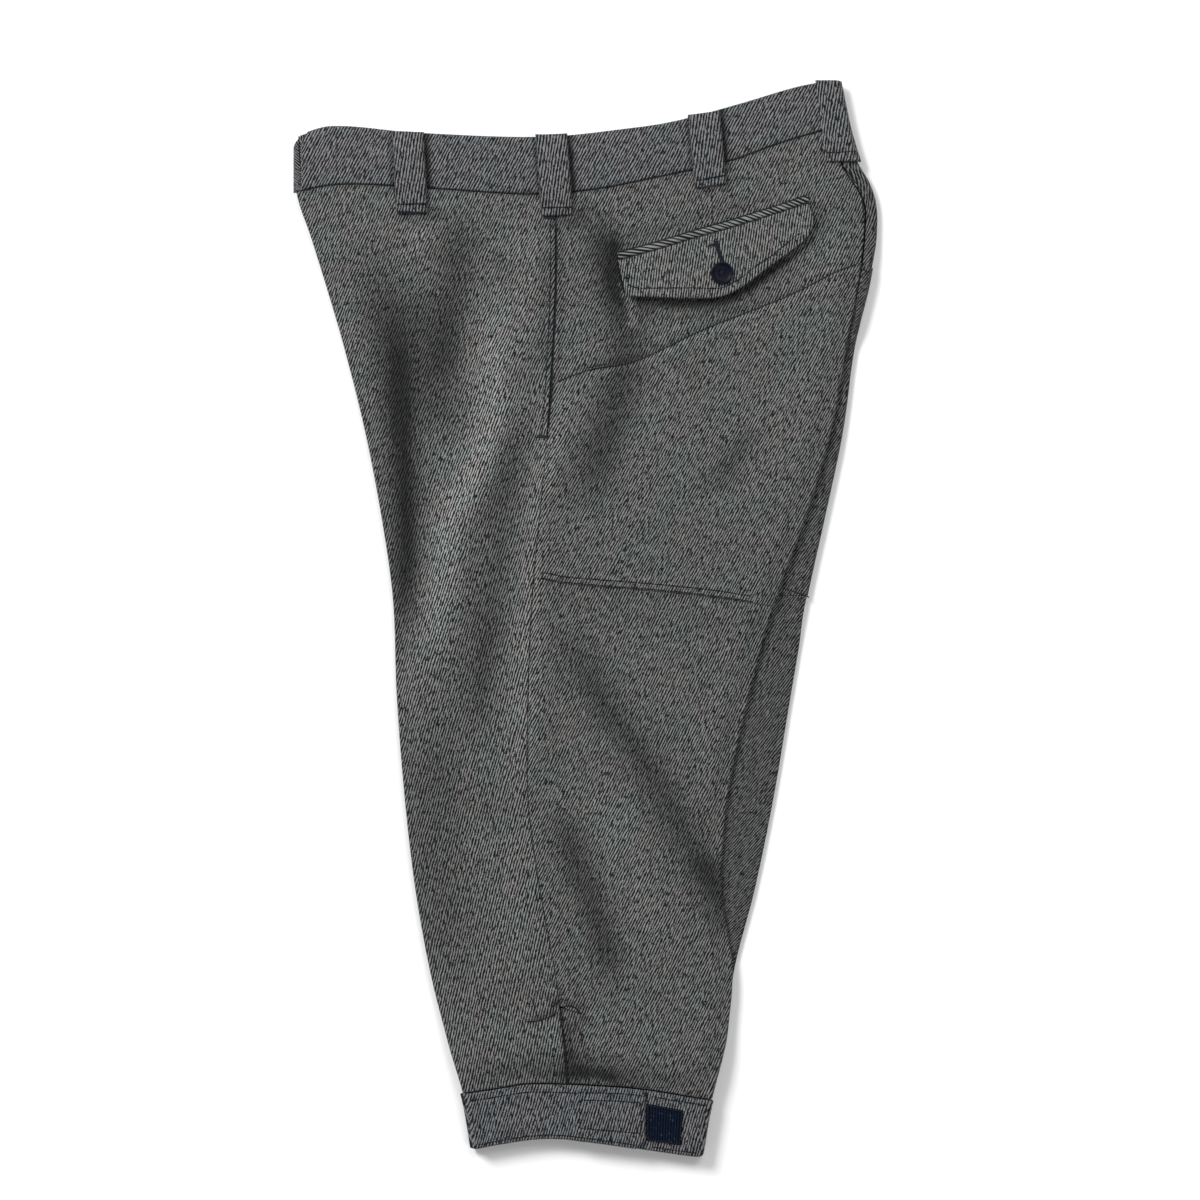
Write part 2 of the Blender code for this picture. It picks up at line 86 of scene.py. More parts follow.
bpy.ops.mesh.primitive_plane_add(size=FLOOR_SIZE, location=(0, 0, FLOOR_LEVEL * MM))
floor = bpy.context.object
floor.name = "floor"
floor_paint = bpy.data.materials.new("pale_floor")
floor_paint.use_nodes = True
floor_shader = floor_paint.node_tree.nodes["Principled BSDF"]
floor_shader.inputs["Base Color"].default_value = (0.86, 0.86, 0.86, 1)
floor_shader.inputs["Roughness"].default_value = 0.8
floor.data.materials.append(floor_paint)

# ---- Leg panels ----------------------------------------------------------------------------------
# Four panels of grey wool twill, a front and a back for each leg, sewn together at the side seam,
# the inseam and the rise. Each is one sheet folded round the front or back edge of its leg, so the
# garment lies in four layers: the right leg's outer and inner side, then the left leg's.
CENTRE = (0.5, -0.6)            # middle of the garment's outline, at the frame's origin
CLOTH = 1.4                     # thickness of the twill
PATCH = 1.0                     # room that a seat patch takes
SEAM_GAP = 0.3
CENTRE_GAP = 1.2
REST_GAP = 0.3
CROTCH_Y, FRONT_RISE_Y, BACK_RISE_Y = 95, 180, 190
ALLOWANCE, INSEAM_SHIFT, UNDER_LEFT = 10, -10, 12
STEP_Y, STEP_LENGTH = 200, 25
WAIST_Y = 318
LOOP_ROOM = 3.1
PUFF, SAG = 4.2, 2.5
FOLD_SHIFT = 6                  # a fold's crest lies behind the stretch that is painted palest
SEAM_SHADE, SEAM_REACH = 0.45, 1.4
TOP_LAYER_FROM = 4.5            # creases and their painted shade and highlight are only on cloth that lies higher than this
PATCH_RAMP, RIGHT_PATCH_RISE = 30, 12
VENT_TOP_Y, VENT_GAP, VENT_LENGTH = -291, 15, 57
PANEL_LENGTH, MESH_STEP = 680, 2.4
RIM_THINNER, RIM_INSET = 0.7, 0.25        # shares of the thickness, where a cut edge rounds off
SEARCHES = 8                    # rounds that find where two lines meet

Station = namedtuple("Station", "y front side back outer")
OUTLINE = (                     # x of the front edge, side seam, left and right back edges
    Station(404, -214, -22, 184, 193),
    Station(366, -216, -24, 188, 201),
    Station(340, -219, -25, 193, 209),
    Station(313, -215, -22, 209, 219),
    Station(290, -207, -21, 210, 220),
    Station(255, -196, -21, 206, 216),
    Station(204, -181, -23, 196, 204),
    Station(140, -165, -27, 184, 195),
    Station(78, -153, -33, 166, 182),
    Station(14, -144, -39, 143, 168),
    Station(-60, -141, -42, 123, 155),
    Station(-137, -135, -42, 107, 142),
    Station(-205, -127, -33, 103, 128),
    Station(-266, -116, -22, 111, 112.5),
    Station(-317, -103, -16, 106, 107),
    Station(-362, -90, -13, 95, 96),
    Station(-404, -83, -11, 88, 89),
)

Level = namedtuple("Level", "y right_outer right_inner left_inner left_outer")
LEVELS = (                      # height of the middle of each layer
    Level(300, 3.3, 5.1, 6.9, 8.7),
    Level(245, 0.7, 2.5, 4.3, 6.1),
    Level(200, 0.7, 2.5, 4.3, 6.1),
    Level(CROTCH_Y, 0.7, 3.3, 5.1, 7.7),
    Level(-240, 0.7, 3.3, 5.1, 7.7),
    Level(-290, 0.9, 4.1, 5.9, 8.7),
    Level(-345, 3.9, 7.1, 9.9, 13.1),
)
PATCH_LIFT = (1.3, 1.3, 2.6, 2.6)

Fold = namedtuple("Fold", "name height width shade path")
FOLDS = (                       # ridges and troughs of the top layer, and their painted highlight and shade
    Fold("front trough", -2.8, 16, -0.40, ((-160, 300), (-156, 258), (-148, 216), (-142, 160),
                                           (-136, 88), (-131, 40), (-133, -45))),
    Fold("front shadow", -0.5, 11, -0.34, ((-140, 240), (-137, 160), (-133, 88), (-136, 0),
                                           (-138, -50))),
    Fold("fly trough", -2.6, 15, -0.34, ((-93, 318), (-96, 260), (-102, 208), (-104, 160))),
    Fold("fly shadow", -1.6, 24, -0.34, ((-128, 262), (-120, 205), (-108, 150), (-100, 120))),
    Fold("front edge ridge", 2.0, 11, 0.12, ((-124, 318), (-126, 262))),
    Fold("thigh ridge", 8.0, 18, 0.44, ((-52, 262), (-66, 222), (-68, 181), (-70, 141), (-85, 100),
                                        (-101, 66), (-108, 20), (-113, -20), (-122, -70))),
    Fold("thigh trough", -3.4, 15, -0.26, ((-44, 170), (-52, 120), (-58, 60), (-70, 0),
                                           (-78, -50), (-84, -110))),
    Fold("pocket ridge", 2.5, 13, 0.10, ((-40, 305), (-44, 240), (-46, 185))),
    Fold("pocket shadow", 0.0, 6, -0.18, ((-27, 300), (-28, 240), (-28, 160))),
    Fold("side ridge", 4.0, 14, 0.20, ((-8, 190), (-20, 140), (-37, 90), (-42, 40), (-43, -32),
                                       (-47, -100), (-52, -160))),
    Fold("flap trough", -4.0, 17, -0.46, ((20, 312), (22, 265), (32, 215), (26, 165), (12, 120),
                                          (2, 62))),
    Fold("loop shadow", -1.0, 12, -0.16, ((3, 318), (6, 285), (10, 262))),
    Fold("seat dimple", -2.0, 13, -0.26, ((124, 142), (108, 110), (96, 88))),
    Fold("knee trough", -3.6, 16, -0.42, ((-20, 10), (4, -45), (22, -77), (40, -100), (68, -150),
                                          (88, -190), (112, -245))),
    Fold("knee foot", -1.0, 14, -0.30, ((88, -170), (100, -205), (108, -250))),
    Fold("calf trough", -3.6, 13, -0.44, ((-20, -135), (-5, -185), (10, -225), (18, -258),
                                          (24, -290))),
    Fold("calf ridge", 3.0, 20, 0.12, ((5, -120), (40, -200), (62, -262))),
    Fold("shin ridge", 3.0, 22, 0.08, ((-50, -150), (-50, -220), (-44, -290))),
    Fold("shin shadow", -1.5, 22, -0.22, ((-122, -60), (-114, -170), (-100, -290))),
)


Crease = namedtuple("Crease", "name height width shade path")
CREASES = (                     # short creases and hollows that run any way, and their painted shade and highlight
    # A row of height 0 is painted shadow only, with no crease under it.
    Crease("vent pleat", 1.3, 4, 0.12, ((-45, -309), (-36, -306), (-27, -302), (-19, -298))),
    Crease("vent pleat hollow", -1.2, 2.6, -0.75, ((-44, -303.5), (-36, -302), (-27, -299),
                                                   (-18, -294.5))),
    Crease("vent nick", -1.0, 2.4, -0.70, ((-26, -292), (-21, -289), (-16, -284))),
    Crease("vent lip", 1.0, 4, 0.14, ((-25, -302), (-22, -322), (-19, -345))),
    Crease("vent arch", 0.0, 2.6, -0.55, ((-20, -292), (-13, -289), (-6, -291), (-1, -296),
                                         (0, -306))),
    Crease("vent mouth", 0.0, 4.0, -0.45, ((-16, -297), (-12, -308), (-11, -322), (-9, -336))),
    Crease("vent hollow", -1.0, 6.5, -0.62, ((-34, -343), (-11, -342), (6, -342.5), (24, -347),
                                             (34, -350))),
    Crease("vent shadow", -0.5, 9, -0.30, ((-30, -330), (-8, -332), (10, -337), (40, -350))),
    Crease("vent turning", 0.6, 1.6, 0.45, ((-9, -348.6), (8, -349), (26, -351))),
    Crease("under the flap", 0.0, 3.2, -0.80, ((26, 239), (52, 236.5), (80, 235.5), (103, 237),
                                               (120, 245), (137, 257.5), (157, 272), (170, 283))),
    Crease("below the flap", 0.0, 8, -0.34, ((26, 236), (52, 232.5), (80, 231), (104, 232.5),
                                             (121, 241), (138, 253), (158, 267), (171, 278))),
    Crease("beside the flap", -0.8, 3.6, -0.72, ((23, 290), (22.5, 276), (22.5, 262), (24.5, 250),
                                                 (27, 242), (30, 236))),
    Crease("near the flap", 0.0, 9, -0.30, ((14, 300), (16, 280), (16, 262), (19, 248), (25, 228))),
    Crease("patch lip", 0.3, 2.2, 0.30, ((-20, 172.5), (3, 182.5), (38, 189.5), (88, 212.5),
                                         (151, 237.5), (204, 261))),
    Crease("patch top", -0.2, 2.6, -0.30, ((-20, 179), (3, 187.5), (38, 194.5), (88, 217.5),
                                           (151, 242.5), (204, 266))),
    Crease("patch foot", -0.2, 2.6, -0.24, ((-33, 29), (-15, 24.5), (51, 19), (90, 15), (128, 10))),
    Crease("flap tip", 0.0, 5, -0.35, ((172, 288), (177, 300), (174, 314))),
    Crease("over the welt", 0.0, 4.5, -0.25, ((24, 280), (57, 291), (103, 305), (150, 318))),
    Crease("front loop foot", 0.0, 5, -0.40, ((-146, 301), (-130, 300), (-113, 302), (-112, 312))),
    Crease("side loop foot", 0.0, 6, -0.45, ((-34, 297), (-20, 297), (-5, 299), (-3, 312))),
    Crease("back loop foot", 0.0, 5, -0.25, ((82, 319), (95, 320), (109, 325), (110, 335))),
    Crease("thigh wrinkle", -1.0, 7, -0.14, ((-60, 8), (-70, -18), (-76, -60), (-70, -100))),
    Crease("seat wrinkle", -0.8, 8, -0.12, ((60, 205), (78, 190), (90, 165))),
    Crease("knee wrinkle", -0.8, 8, -0.12, ((-95, -70), (-100, -120), (-96, -160))),
    Crease("hem puckers", -0.6, 6, -0.22, ((-80, -345), (-60, -341), (-44, -339), (-30, -340))),
    Crease("hem puckers behind", -0.6, 6, -0.20, ((24, -342), (46, -346), (66, -349), (86, -353))),
)


def ease(t):
    """Rises smoothly from 0 to 1."""
    t = np.clip(t, 0.0, 1.0)
    return t * t * (3 - 2 * t)


def through(points):
    """A smooth line through (at, value) points, level beyond both ends."""
    at, value = np.array(sorted(points), float).T
    last = len(at) - 1
    before = np.maximum(np.arange(last + 1) - 1, 0)
    after = np.minimum(np.arange(last + 1) + 1, last)
    slope = (value[after] - value[before]) / (at[after] - at[before])

    def line(x):
        x = np.clip(x, at[0], at[-1])
        i = np.clip(np.searchsorted(at, x, "right") - 1, 0, last - 1)
        span = at[i + 1] - at[i]
        t = (x - at[i]) / span
        return (value[i] * (1 + 2 * t) * (1 - t) ** 2 + value[i + 1] * t * t * (3 - 2 * t)
                + span * t * (1 - t) * (slope[i] * (1 - t) - slope[i + 1] * t))
    return line


def steps(points):
    """A line that eases from one (at, value) point to the next."""
    at, value = np.array(sorted(points), float).T

    def line(x):
        x = np.clip(x, at[0], at[-1])
        i = np.clip(np.searchsorted(at, x, "right") - 1, 0, len(at) - 2)
        return value[i] + (value[i + 1] - value[i]) * ease((x - at[i]) / (at[i + 1] - at[i]))
    return line


front_edge = through([(s.y, s.front) for s in OUTLINE])
side_seam = through([(s.y, s.side) for s in OUTLINE])
back_edge = through([(s.y, s.back) for s in OUTLINE])
outer_edge = through([(s.y, s.outer) for s in OUTLINE])
layer_level = [steps([(row[0], row[1 + layer]) for row in LEVELS]) for layer in range(4)]

waist_seam = through(((-219, 319), (-183, 325), (-117, 322), (-37, 317.5), (9, 321.5),
                      (58, 331), (107, 342), (150, 357), (188, 368), (205, 372)))
band_top = through(((-219, 361), (-190, 369), (-126, 364), (-31, 361), (39, 368),
                    (69, 373), (114, 385), (162, 399), (193, 404)))
patch_top = through(((-24, 176), (3, 186), (38, 193), (88, 216), (151, 241), (206, 266),
                     (217, 258)))
patch_bottom = through(((-38, 30), (-15, 25.5), (51, 20), (90, 16), (138, 9), (168, 4)))
cuff_seam = through(((-92, -357), (-65, -353), (-42, -349.5), (12, -351), (47, -354),
                     (81, -359.5), (97, -362)))
hem = through(((-84, -399), (-60, -394.5), (-33, -391), (-6, -392), (39, -398),
               (66, -402), (89, -405)))

fold_lines = [through([(y, x) for x, y in fold.path]) for fold in FOLDS]


def away_from_edges(x, y, distance):
    """0 at the front and back edges, 1 further inside than the distance."""
    return ease(np.minimum(x - front_edge(y), back_edge(y) - x) / distance)


def away_from_bands(x, y):
    """0 at the waistband and the belt loops' ends and at the cuffs, 1 away from them."""
    return ease((waist_seam(x) - y - 20) / 30) * ease((y - cuff_seam(x)) / 30)


def fold_waves(x, y, measure, shift=0):
    """One measure of the folds, such as their height, added up over the top layer."""
    total = 0
    for fold, line in zip(FOLDS, fold_lines):
        ends = [point[1] for point in fold.path]
        along = (y - min(ends)) / (max(ends) - min(ends))
        fade = ease(np.minimum(along, 1 - along) * 4)
        aside = (x - line(y) - shift) / fold.width
        total = total + getattr(fold, measure) * fade * np.exp(-aside ** 2)
    return total


def smooth_path(points, step=0.5):
    """A smooth path through points on the cloth, in short even steps: x, y and the run so far."""
    points = np.array(points, float)
    chord = np.concatenate([[0], np.cumsum(np.hypot(*np.diff(points, axis=0).T))])
    at = np.linspace(0, chord[-1], int(chord[-1] / step) + 2)
    x = through(list(zip(chord, points[:, 0])))(at)
    y = through(list(zip(chord, points[:, 1])))(at)
    run = np.concatenate([[0], np.cumsum(np.hypot(np.diff(x), np.diff(y)))])
    return x, y, run


def crease_waves(x, y, measure):
    """One measure of the creases, added up over the top layer."""
    total = np.zeros(np.shape(x))
    for crease in CREASES:
        path_x, path_y, run = smooth_path(crease.path, 3.0)
        gap = np.hypot(x[..., None] - path_x, y[..., None] - path_y)
        nearest = gap.argmin(-1)
        along = run[nearest] / run[-1]
        fade = 0.25 + 0.75 * ease(np.minimum(along, 1 - along) * 4)
        total += getattr(crease, measure) * fade * np.exp(-(gap.min(-1) / crease.width) ** 2)
    return total


def fold_relief(x, y):
    """How far the folds lift the top layer."""
    relief = PUFF + fold_waves(x, y, "height", FOLD_SHIFT)
    relief = (relief + np.sqrt(relief ** 2 + 1.5)) / 2
    return relief * away_from_edges(x, y, 18) * away_from_bands(x, y)


def painted_fold_shade(grid):
    """Painted highlight and shade along the folds and creases of the top layer, and painted shade in
    the ditches of the waist and cuff seams.
    """
    x, y = grid[..., 0], grid[..., 1]
    shade = 1.2 * fold_waves(x, y, "shade") + crease_waves(x, y, "shade")
    for seam in (waist_seam, cuff_seam):
        shade = shade - SEAM_SHADE * np.exp(-((y - seam(x)) / SEAM_REACH) ** 2)
    return np.clip(shade, -0.86, 0.6) * (grid[..., 2] > TOP_LAYER_FROM)


def over_patch(x, y):
    """1 over the seat patches, 0 further away than the ramp."""
    outside = np.maximum(np.maximum(patch_bottom(x) - y, y - patch_top(x)), side_seam(y) - x)
    return 1 - ease(outside / PATCH_RAMP)


def height(layer, x, y):
    """The middle of a layer, above the floor."""
    curve_of_waist = (waist_seam(x) - WAIST_Y) * ease((y - STEP_Y) / (WAIST_Y - STEP_Y))
    z = layer_level[layer](y - curve_of_waist) + PATCH_LIFT[layer] * over_patch(x, y)
    if layer == 3:
        above_rise = ease((y - CROTCH_Y) / (STEP_Y - CROTCH_Y))
        z = z + fold_relief(x, y)
        z = z - SAG * above_rise * away_from_edges(x, y, 45) * away_from_bands(x, y)
    return z


def between(low, high, part):
    """A line across the garment, part of the way from one line to the next."""
    return lambda x: low(x) + (high(x) - low(x)) * part


def meet(row, place_at):
    """Where lines across meet lines down the leg."""
    y = row(0)
    for _ in range(SEARCHES):
        x = place_at(y)
        y = row(x)
    return np.broadcast_arrays(x, y)


def spaced(length, step, close=(0.7, 1.8), ends=(True, True)):
    """Parts from 0 to 1, a step apart, with closer ones at the ends where an edge rounds off."""
    low = close if ends[0] else ()
    high = close if ends[1] else ()
    start = low[-1] if low else 0
    stop = length - (high[-1] if high else 0)
    middle = np.linspace(start, stop, round((stop - start) / step) + 1)
    first = [0.0, *low[:-1]] if low else []
    final = [length - d for d in high[:-1][::-1]] + [length] if high else []
    return np.concatenate([first, middle, final]) / length


def rise_line(y, top_y, top_x):
    """One arm of the U-shaped rise seam, or the inseam below it."""
    inseam = side_seam(y) + INSEAM_SHIFT
    depth = (top_y - np.minimum(y, top_y)) / (top_y - CROTCH_Y)
    reach = np.sqrt(np.maximum(0.0, 1 - depth ** 2)) * (y > CROTCH_Y)
    return inseam + (top_x - inseam) * reach


def inner_end(half, leg, y):
    """Where the hidden side of a panel ends."""
    if half == "front":
        return rise_line(y, FRONT_RISE_Y, front_edge(y) + ALLOWANCE) - SEAM_GAP
    end = rise_line(y, BACK_RISE_Y, back_edge(y) - ALLOWANCE) + SEAM_GAP
    if leg == "left":
        return end
    at_seam = ease((y - BACK_RISE_Y) / 10)
    return end * (1 - at_seam) + (back_edge(y) + CENTRE_GAP) * at_seam


def leg_cloth(half, leg, row, outer_parts, inner_parts, angles):
    """Points of a panel: its outer side, the round of its fold, its inner side."""
    outer, inner = (0, 1) if leg == "right" else (3, 2)
    way = -1 if half == "front" else 1
    round_left = half == "back" and leg == "right"
    edge = front_edge if half == "front" else outer_edge if round_left else back_edge

    def inner_height(x, y):
        z = height(inner, x, y)
        if round_left:
            climb = ease((y - STEP_Y) / STEP_LENGTH)
            z = z * (1 - climb) + height(3, back_edge(y), y) * climb
        return z

    def fold_start(y):
        x = edge(y)
        radius = abs(inner_height(x, y) - height(outer, x, y)) / 2
        room = CLOTH / 2
        if round_left:
            room = room + (REST_GAP + PATCH) * over_patch(x, y) + LOOP_ROOM * ease((y - 325) / 20)
        return x - way * (radius + room)

    def start(y):
        down = np.clip((VENT_TOP_Y - y) / VENT_LENGTH, 0, 1)
        vent = VENT_GAP * ease(down * 9) + 3 * down if half == "back" else 0
        return side_seam(y) + way * SEAM_GAP / 2 + vent

    x, y = meet(row, lambda at: start(at) + (fold_start(at) - start(at)) * outer_parts)
    z = height(outer, x, y)
    x_fold, y_fold, z_out = x[:, -1:], y[:, -1:], z[:, -1:]
    z_in = inner_height(x_fold, y_fold)
    middle, radius = (z_out + z_in) / 2, (z_out - z_in) / 2
    turn = np.radians(angles)
    x_turn = x_fold + way * abs(radius) * np.cos(turn)
    z_turn = middle + radius * np.sin(turn)
    grid = [np.stack([x, y, z], 2), np.stack(np.broadcast_arrays(x_turn, y_fold, z_turn), 2)]
    if len(inner_parts):
        first_x, first_y = x_fold, y_fold
        if round_left:
            beside = (CENTRE_GAP + 1.5) * ease((first_y - BACK_RISE_Y) / 10)
            tuck = UNDER_LEFT * ease((BACK_RISE_Y - first_y) / 50)
            first_x = np.minimum(back_edge(first_y) + beside - tuck, x_fold)
        follow = np.maximum(ease((80 - y_fold) / 40), ease((y_fold - BACK_RISE_Y - 10) / 20))
        x_in = np.repeat(first_x, len(inner_parts), 1)
        y_in = np.repeat(y_fold, len(inner_parts), 1)
        for _ in range(SEARCHES):
            x_in = first_x + (inner_end(half, leg, y_in) - first_x) * inner_parts
            y_in = y_fold + follow * (row(x_in) - y_fold)
        if round_left:
            lead = x_fold + (first_x - x_fold) * np.linspace(0, 1, 5)[:-1]
            lead_y = np.broadcast_to(y_fold, lead.shape)
            grid.append(np.stack([lead, lead_y, inner_height(lead, lead_y)], 2))
        grid.append(np.stack([x_in, y_in, inner_height(x_in, y_in)], 2))
    grid = np.concatenate(grid, 1)
    return grid[:, ::-1] if (half == "front") == (leg == "left") else grid


def out_of(grid):
    """The direction square to a grid of points, on its outer face."""
    across = np.gradient(grid, axis=1)
    up = np.gradient(grid, axis=0)
    out = np.cross(across, up)
    return out / np.linalg.norm(out, axis=2, keepdims=True)


def unrolled(grid, lean, bend=0.0):
    """Places in the weave: across the wales and along them, in mm, as if the sheet lay flat.
    Lean is how far a wale moves across for each step up, and bend is how that grows with height."""
    run = np.diff(grid, axis=1)
    width = np.hypot(run[..., 0], run[..., 2])
    across = np.concatenate([np.zeros((len(grid), 1)), np.cumsum(width, axis=1)], 1)
    level = grid[..., 1]
    middle = grid.shape[1] // 2
    across = across - across[:, middle:middle + 1] + grid[:, middle:middle + 1, 0]
    return np.stack([across - lean * level - bend * level ** 2 / 2, level], 2)


def area_of(grid):
    """Area of a grid of points, in square metres."""
    one = grid[1:, 1:] - grid[:-1, :-1]
    two = grid[1:, :-1] - grid[:-1, 1:]
    return float(np.linalg.norm(np.cross(one, two), axis=2).sum() / 2 * MM * MM)


def wall(name, grid, thickness, weave, painted_shade=0.0):
    """A sheet of cloth with rounded edges, from points on its middle surface."""
    rows, cols = grid.shape[:2]
    index = np.arange(rows * cols).reshape(rows, cols)
    rim = np.concatenate([index[0, :-1], index[:-1, -1], index[-1, :0:-1], index[:0:-1, 0]])
    out = out_of(grid).reshape(-1, 3)
    points = grid.reshape(-1, 3)
    tangent = points[np.roll(rim, -1)] - points[np.roll(rim, 1)]
    away = np.cross(tangent, out[rim])
    away /= np.linalg.norm(away, axis=1, keepdims=True)
    half = np.full((len(points), 1), thickness / 2)
    half[rim] *= RIM_THINNER
    inset = np.zeros_like(points)
    inset[rim] = away * thickness * -RIM_INSET
    count = len(points)
    places = np.concatenate([points + inset + out * half, points + inset - out * half, points[rim]])
    places = (places - np.array([*CENTRE, 0.0])) * MM
    a, b = index[:-1, :-1].ravel(), index[:-1, 1:].ravel()
    c, d = index[1:, 1:].ravel(), index[1:, :-1].ravel()
    ahead = np.roll(rim, -1)
    ring = 2 * count + np.arange(len(rim))
    ring_ahead = np.roll(ring, -1)
    faces = np.concatenate([
        np.stack([a, b, c, d], 1),
        np.stack([d, c, b, a], 1) + count,
        np.stack([ring, ring_ahead, ahead, rim], 1),
        np.stack([rim + count, ahead + count, ring_ahead, ring], 1),
    ])
    mesh = bpy.data.meshes.new(name)
    mesh.from_pydata(places.tolist(), [], faces.tolist())
    # The weave attribute's third part is the painted shade and highlight.
    painted_shade = np.broadcast_to(painted_shade, grid.shape[:2])
    woven = np.concatenate([weave, painted_shade[..., None]], 2).reshape(-1, 3)
    woven = np.concatenate([woven, woven, woven[rim]])
    mesh.attributes.new("weave", "FLOAT_VECTOR", "POINT").data.foreach_set("vector", woven.ravel())
    mesh.shade_smooth()
    piece = bpy.data.objects.new(name, mesh)
    scene.collection.objects.link(piece)
    return piece


def sew(node, grid, thickness, weave, material, painted_shade=0.0):
    """Makes a sheet of cloth that stands for the solid of the same name."""
    piece = wall("cloth_" + node, grid, thickness, weave, painted_shade)
    piece.data.materials.append(material)
    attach(piece, "root")
    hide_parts(node)
    area_of(grid)
    return piece


class Strand:
    """One value in a material. Arithmetic on it adds the Math nodes that work it out."""

    def __init__(self, tree, socket=None):
        self.tree = tree
        self.socket = socket

    def node(self, kind, settings=None, inputs=None, out=0):
        """Adds a node: its settings first, then the values or links of its sockets."""
        made = self.tree.nodes.new(kind)
        for name, value in (settings or {}).items():
            setattr(made, name, value)
        for name, value in (inputs or {}).items():
            if isinstance(value, Strand):
                self.tree.links.new(value.socket, made.inputs[name])
            else:
                made.inputs[name].default_value = value
        return Strand(self.tree, made.outputs[out])

    def also(self, out):
        """Another output of the same node."""
        return Strand(self.tree, self.socket.node.outputs[out])

    def maths(self, operation, *values):
        return self.node("ShaderNodeMath", {"operation": operation}, dict(enumerate(values)))

    def __add__(self, other):
        return self.maths("ADD", self, other)

    def __sub__(self, other):
        return self.maths("SUBTRACT", self, other)

    def __rsub__(self, other):
        return self.maths("SUBTRACT", other, self)

    def __mul__(self, other):
        return self.maths("MULTIPLY", self, other)

    def __pow__(self, other):
        return self.maths("POWER", self, other)

    __radd__ = __add__
    __rmul__ = __mul__

    def held(self, low=0.0, high=1.0):
        """The value kept between two limits."""
        return self.maths("MINIMUM", self.maths("MAXIMUM", self, low), high)

    def blend(self, low, high):
        """A colour that runs from low to high as this value goes from 0 to 1."""
        return self.node("ShaderNodeMix", {"data_type": "RGBA"}, {0: self, 6: low, 7: high}, 2)

    def stretched(self, x, y, z=0.0):
        """A vector with each of its parts scaled."""
        return self.node("ShaderNodeVectorMath", {"operation": "MULTIPLY"}, {0: self, 1: (x, y, z)})

    def beside(self, scale, other):
        """A vector of this value, scaled, and another one."""
        return self.node("ShaderNodeCombineXYZ", None, {0: self * scale, 1: other})

    def cloud(self, scale, detail=0.0):
        """Soft noise over this vector, about 0.5 on average."""
        return self.node("ShaderNodeTexNoise", {"noise_dimensions": "2D"},
                         {"Vector": self, "Scale": scale, "Detail": detail})

    def feed(self, shader, socket):
        self.tree.links.new(self.socket, shader.inputs[socket])


def new_material(name, roughness, shine):
    """A material, its shader, and a strand to start its nodes from."""
    material = bpy.data.materials.new(name)
    material.use_nodes = True
    shader = material.node_tree.nodes["Principled BSDF"]
    shader.inputs["Roughness"].default_value = roughness
    shader.inputs["Specular IOR Level"].default_value = shine
    return material, shader, Strand(material.node_tree)


def wool(name, depth=1.0, pitch=2.1, dye=(1.0, 1.01, 0.98, 1), salt=1.0):
    """Salt-and-pepper wool twill: slanting wales of dark and pale yarn under a short nap."""
    material, shader, start = new_material(name, 0.92, 0.2)
    shader.inputs["Sheen Weight"].default_value = 0.08
    shader.inputs["Sheen Roughness"].default_value = 0.5
    weave = start.node("ShaderNodeAttribute", {"attribute_name": "weave"}, out="Vector")
    across = weave.node("ShaderNodeSeparateXYZ", None, {0: weave}, "X")
    # The weave's third part is painted shade and highlight, which scales how bright the yarn is.
    painted_shade = across.also("Z")
    level = across.also("Y")
    drift = weave.stretched(0.1, 0.04).cloud(1.0, 1.0) - 0.5
    wale = start.maths("SINE", across * (2 * math.pi / pitch) + drift * 5.0)
    streak = across.beside(1.25, level * 0.24 + across * 0.47).cloud(1.0, 1.0) - 0.5
    fleck = across.beside(1.15, level * 0.9 - across * 0.33).cloud(1.0, 1.0) - 0.5
    mottle = weave.stretched(0.09, 0.07).cloud(1.0, 2.0) - 0.5
    yarn = wale * (2.0 - salt) + (streak * 4.4 + fleck * 2.0) * salt
    pale = (yarn * 1.15 + 0.32 + mottle * 0.3).held()
    light = (pale ** 1.7 * 0.177 + 0.003) * (painted_shade + depth)
    tint = weave.stretched(0.035, 0.03).cloud(1.0, 1.0)
    nap = ((tint - 0.5) * 4 + 0.5).held().blend((0.94, 1.0, 0.99, 1), (1.03, 0.99, 0.99, 1))
    fibre = pale.blend((0.94, 1.0, 1.16, 1), dye)
    colour = nap.node("ShaderNodeVectorMath", {"operation": "MULTIPLY"}, {0: nap, 1: fibre})
    colour = colour.node("ShaderNodeVectorMath", {"operation": "SCALE"}, {0: colour, "Scale": light})
    colour.feed(shader, "Base Color")
    relief = wale * 0.3 + streak * 0.9 + fleck * 0.8
    bump = relief.node("ShaderNodeBump", None,
                       {"Height": relief, "Strength": 0.6, "Distance": 0.00035})
    bump.feed(shader, "Normal")
    return material


FACE_LEAN, FACE_BEND = 0.34, 0.00038      # wales lean less towards the cuff
UNDER_SHADE = -0.3                        # the right back lies in the shade of the left
wool_cloth = wool("wool_twill")

Panel = namedtuple("Panel", "half leg width inner lean bend flat rests_on")
PANELS = (
    Panel("front", "left", 135, 45, FACE_LEAN, FACE_BEND, (0.31, 0.70), ["left_back"]),
    Panel("back", "left", 190, 60, 0.48, 0.0, (0.40, 0.72), ["right_back"]),
    Panel("front", "right", 135, 45, FACE_LEAN, FACE_BEND, (0.31, 0.70), ["floor"]),
    Panel("back", "right", 200, 60, 0.62, 0.0, (0.42, 0.72), ["floor"]),
)
ROUND = np.linspace(67.5, -67.5, 7)       # angles of the points round a folded edge
POCKET_TOP, POCKET_FOOT = 299, 134


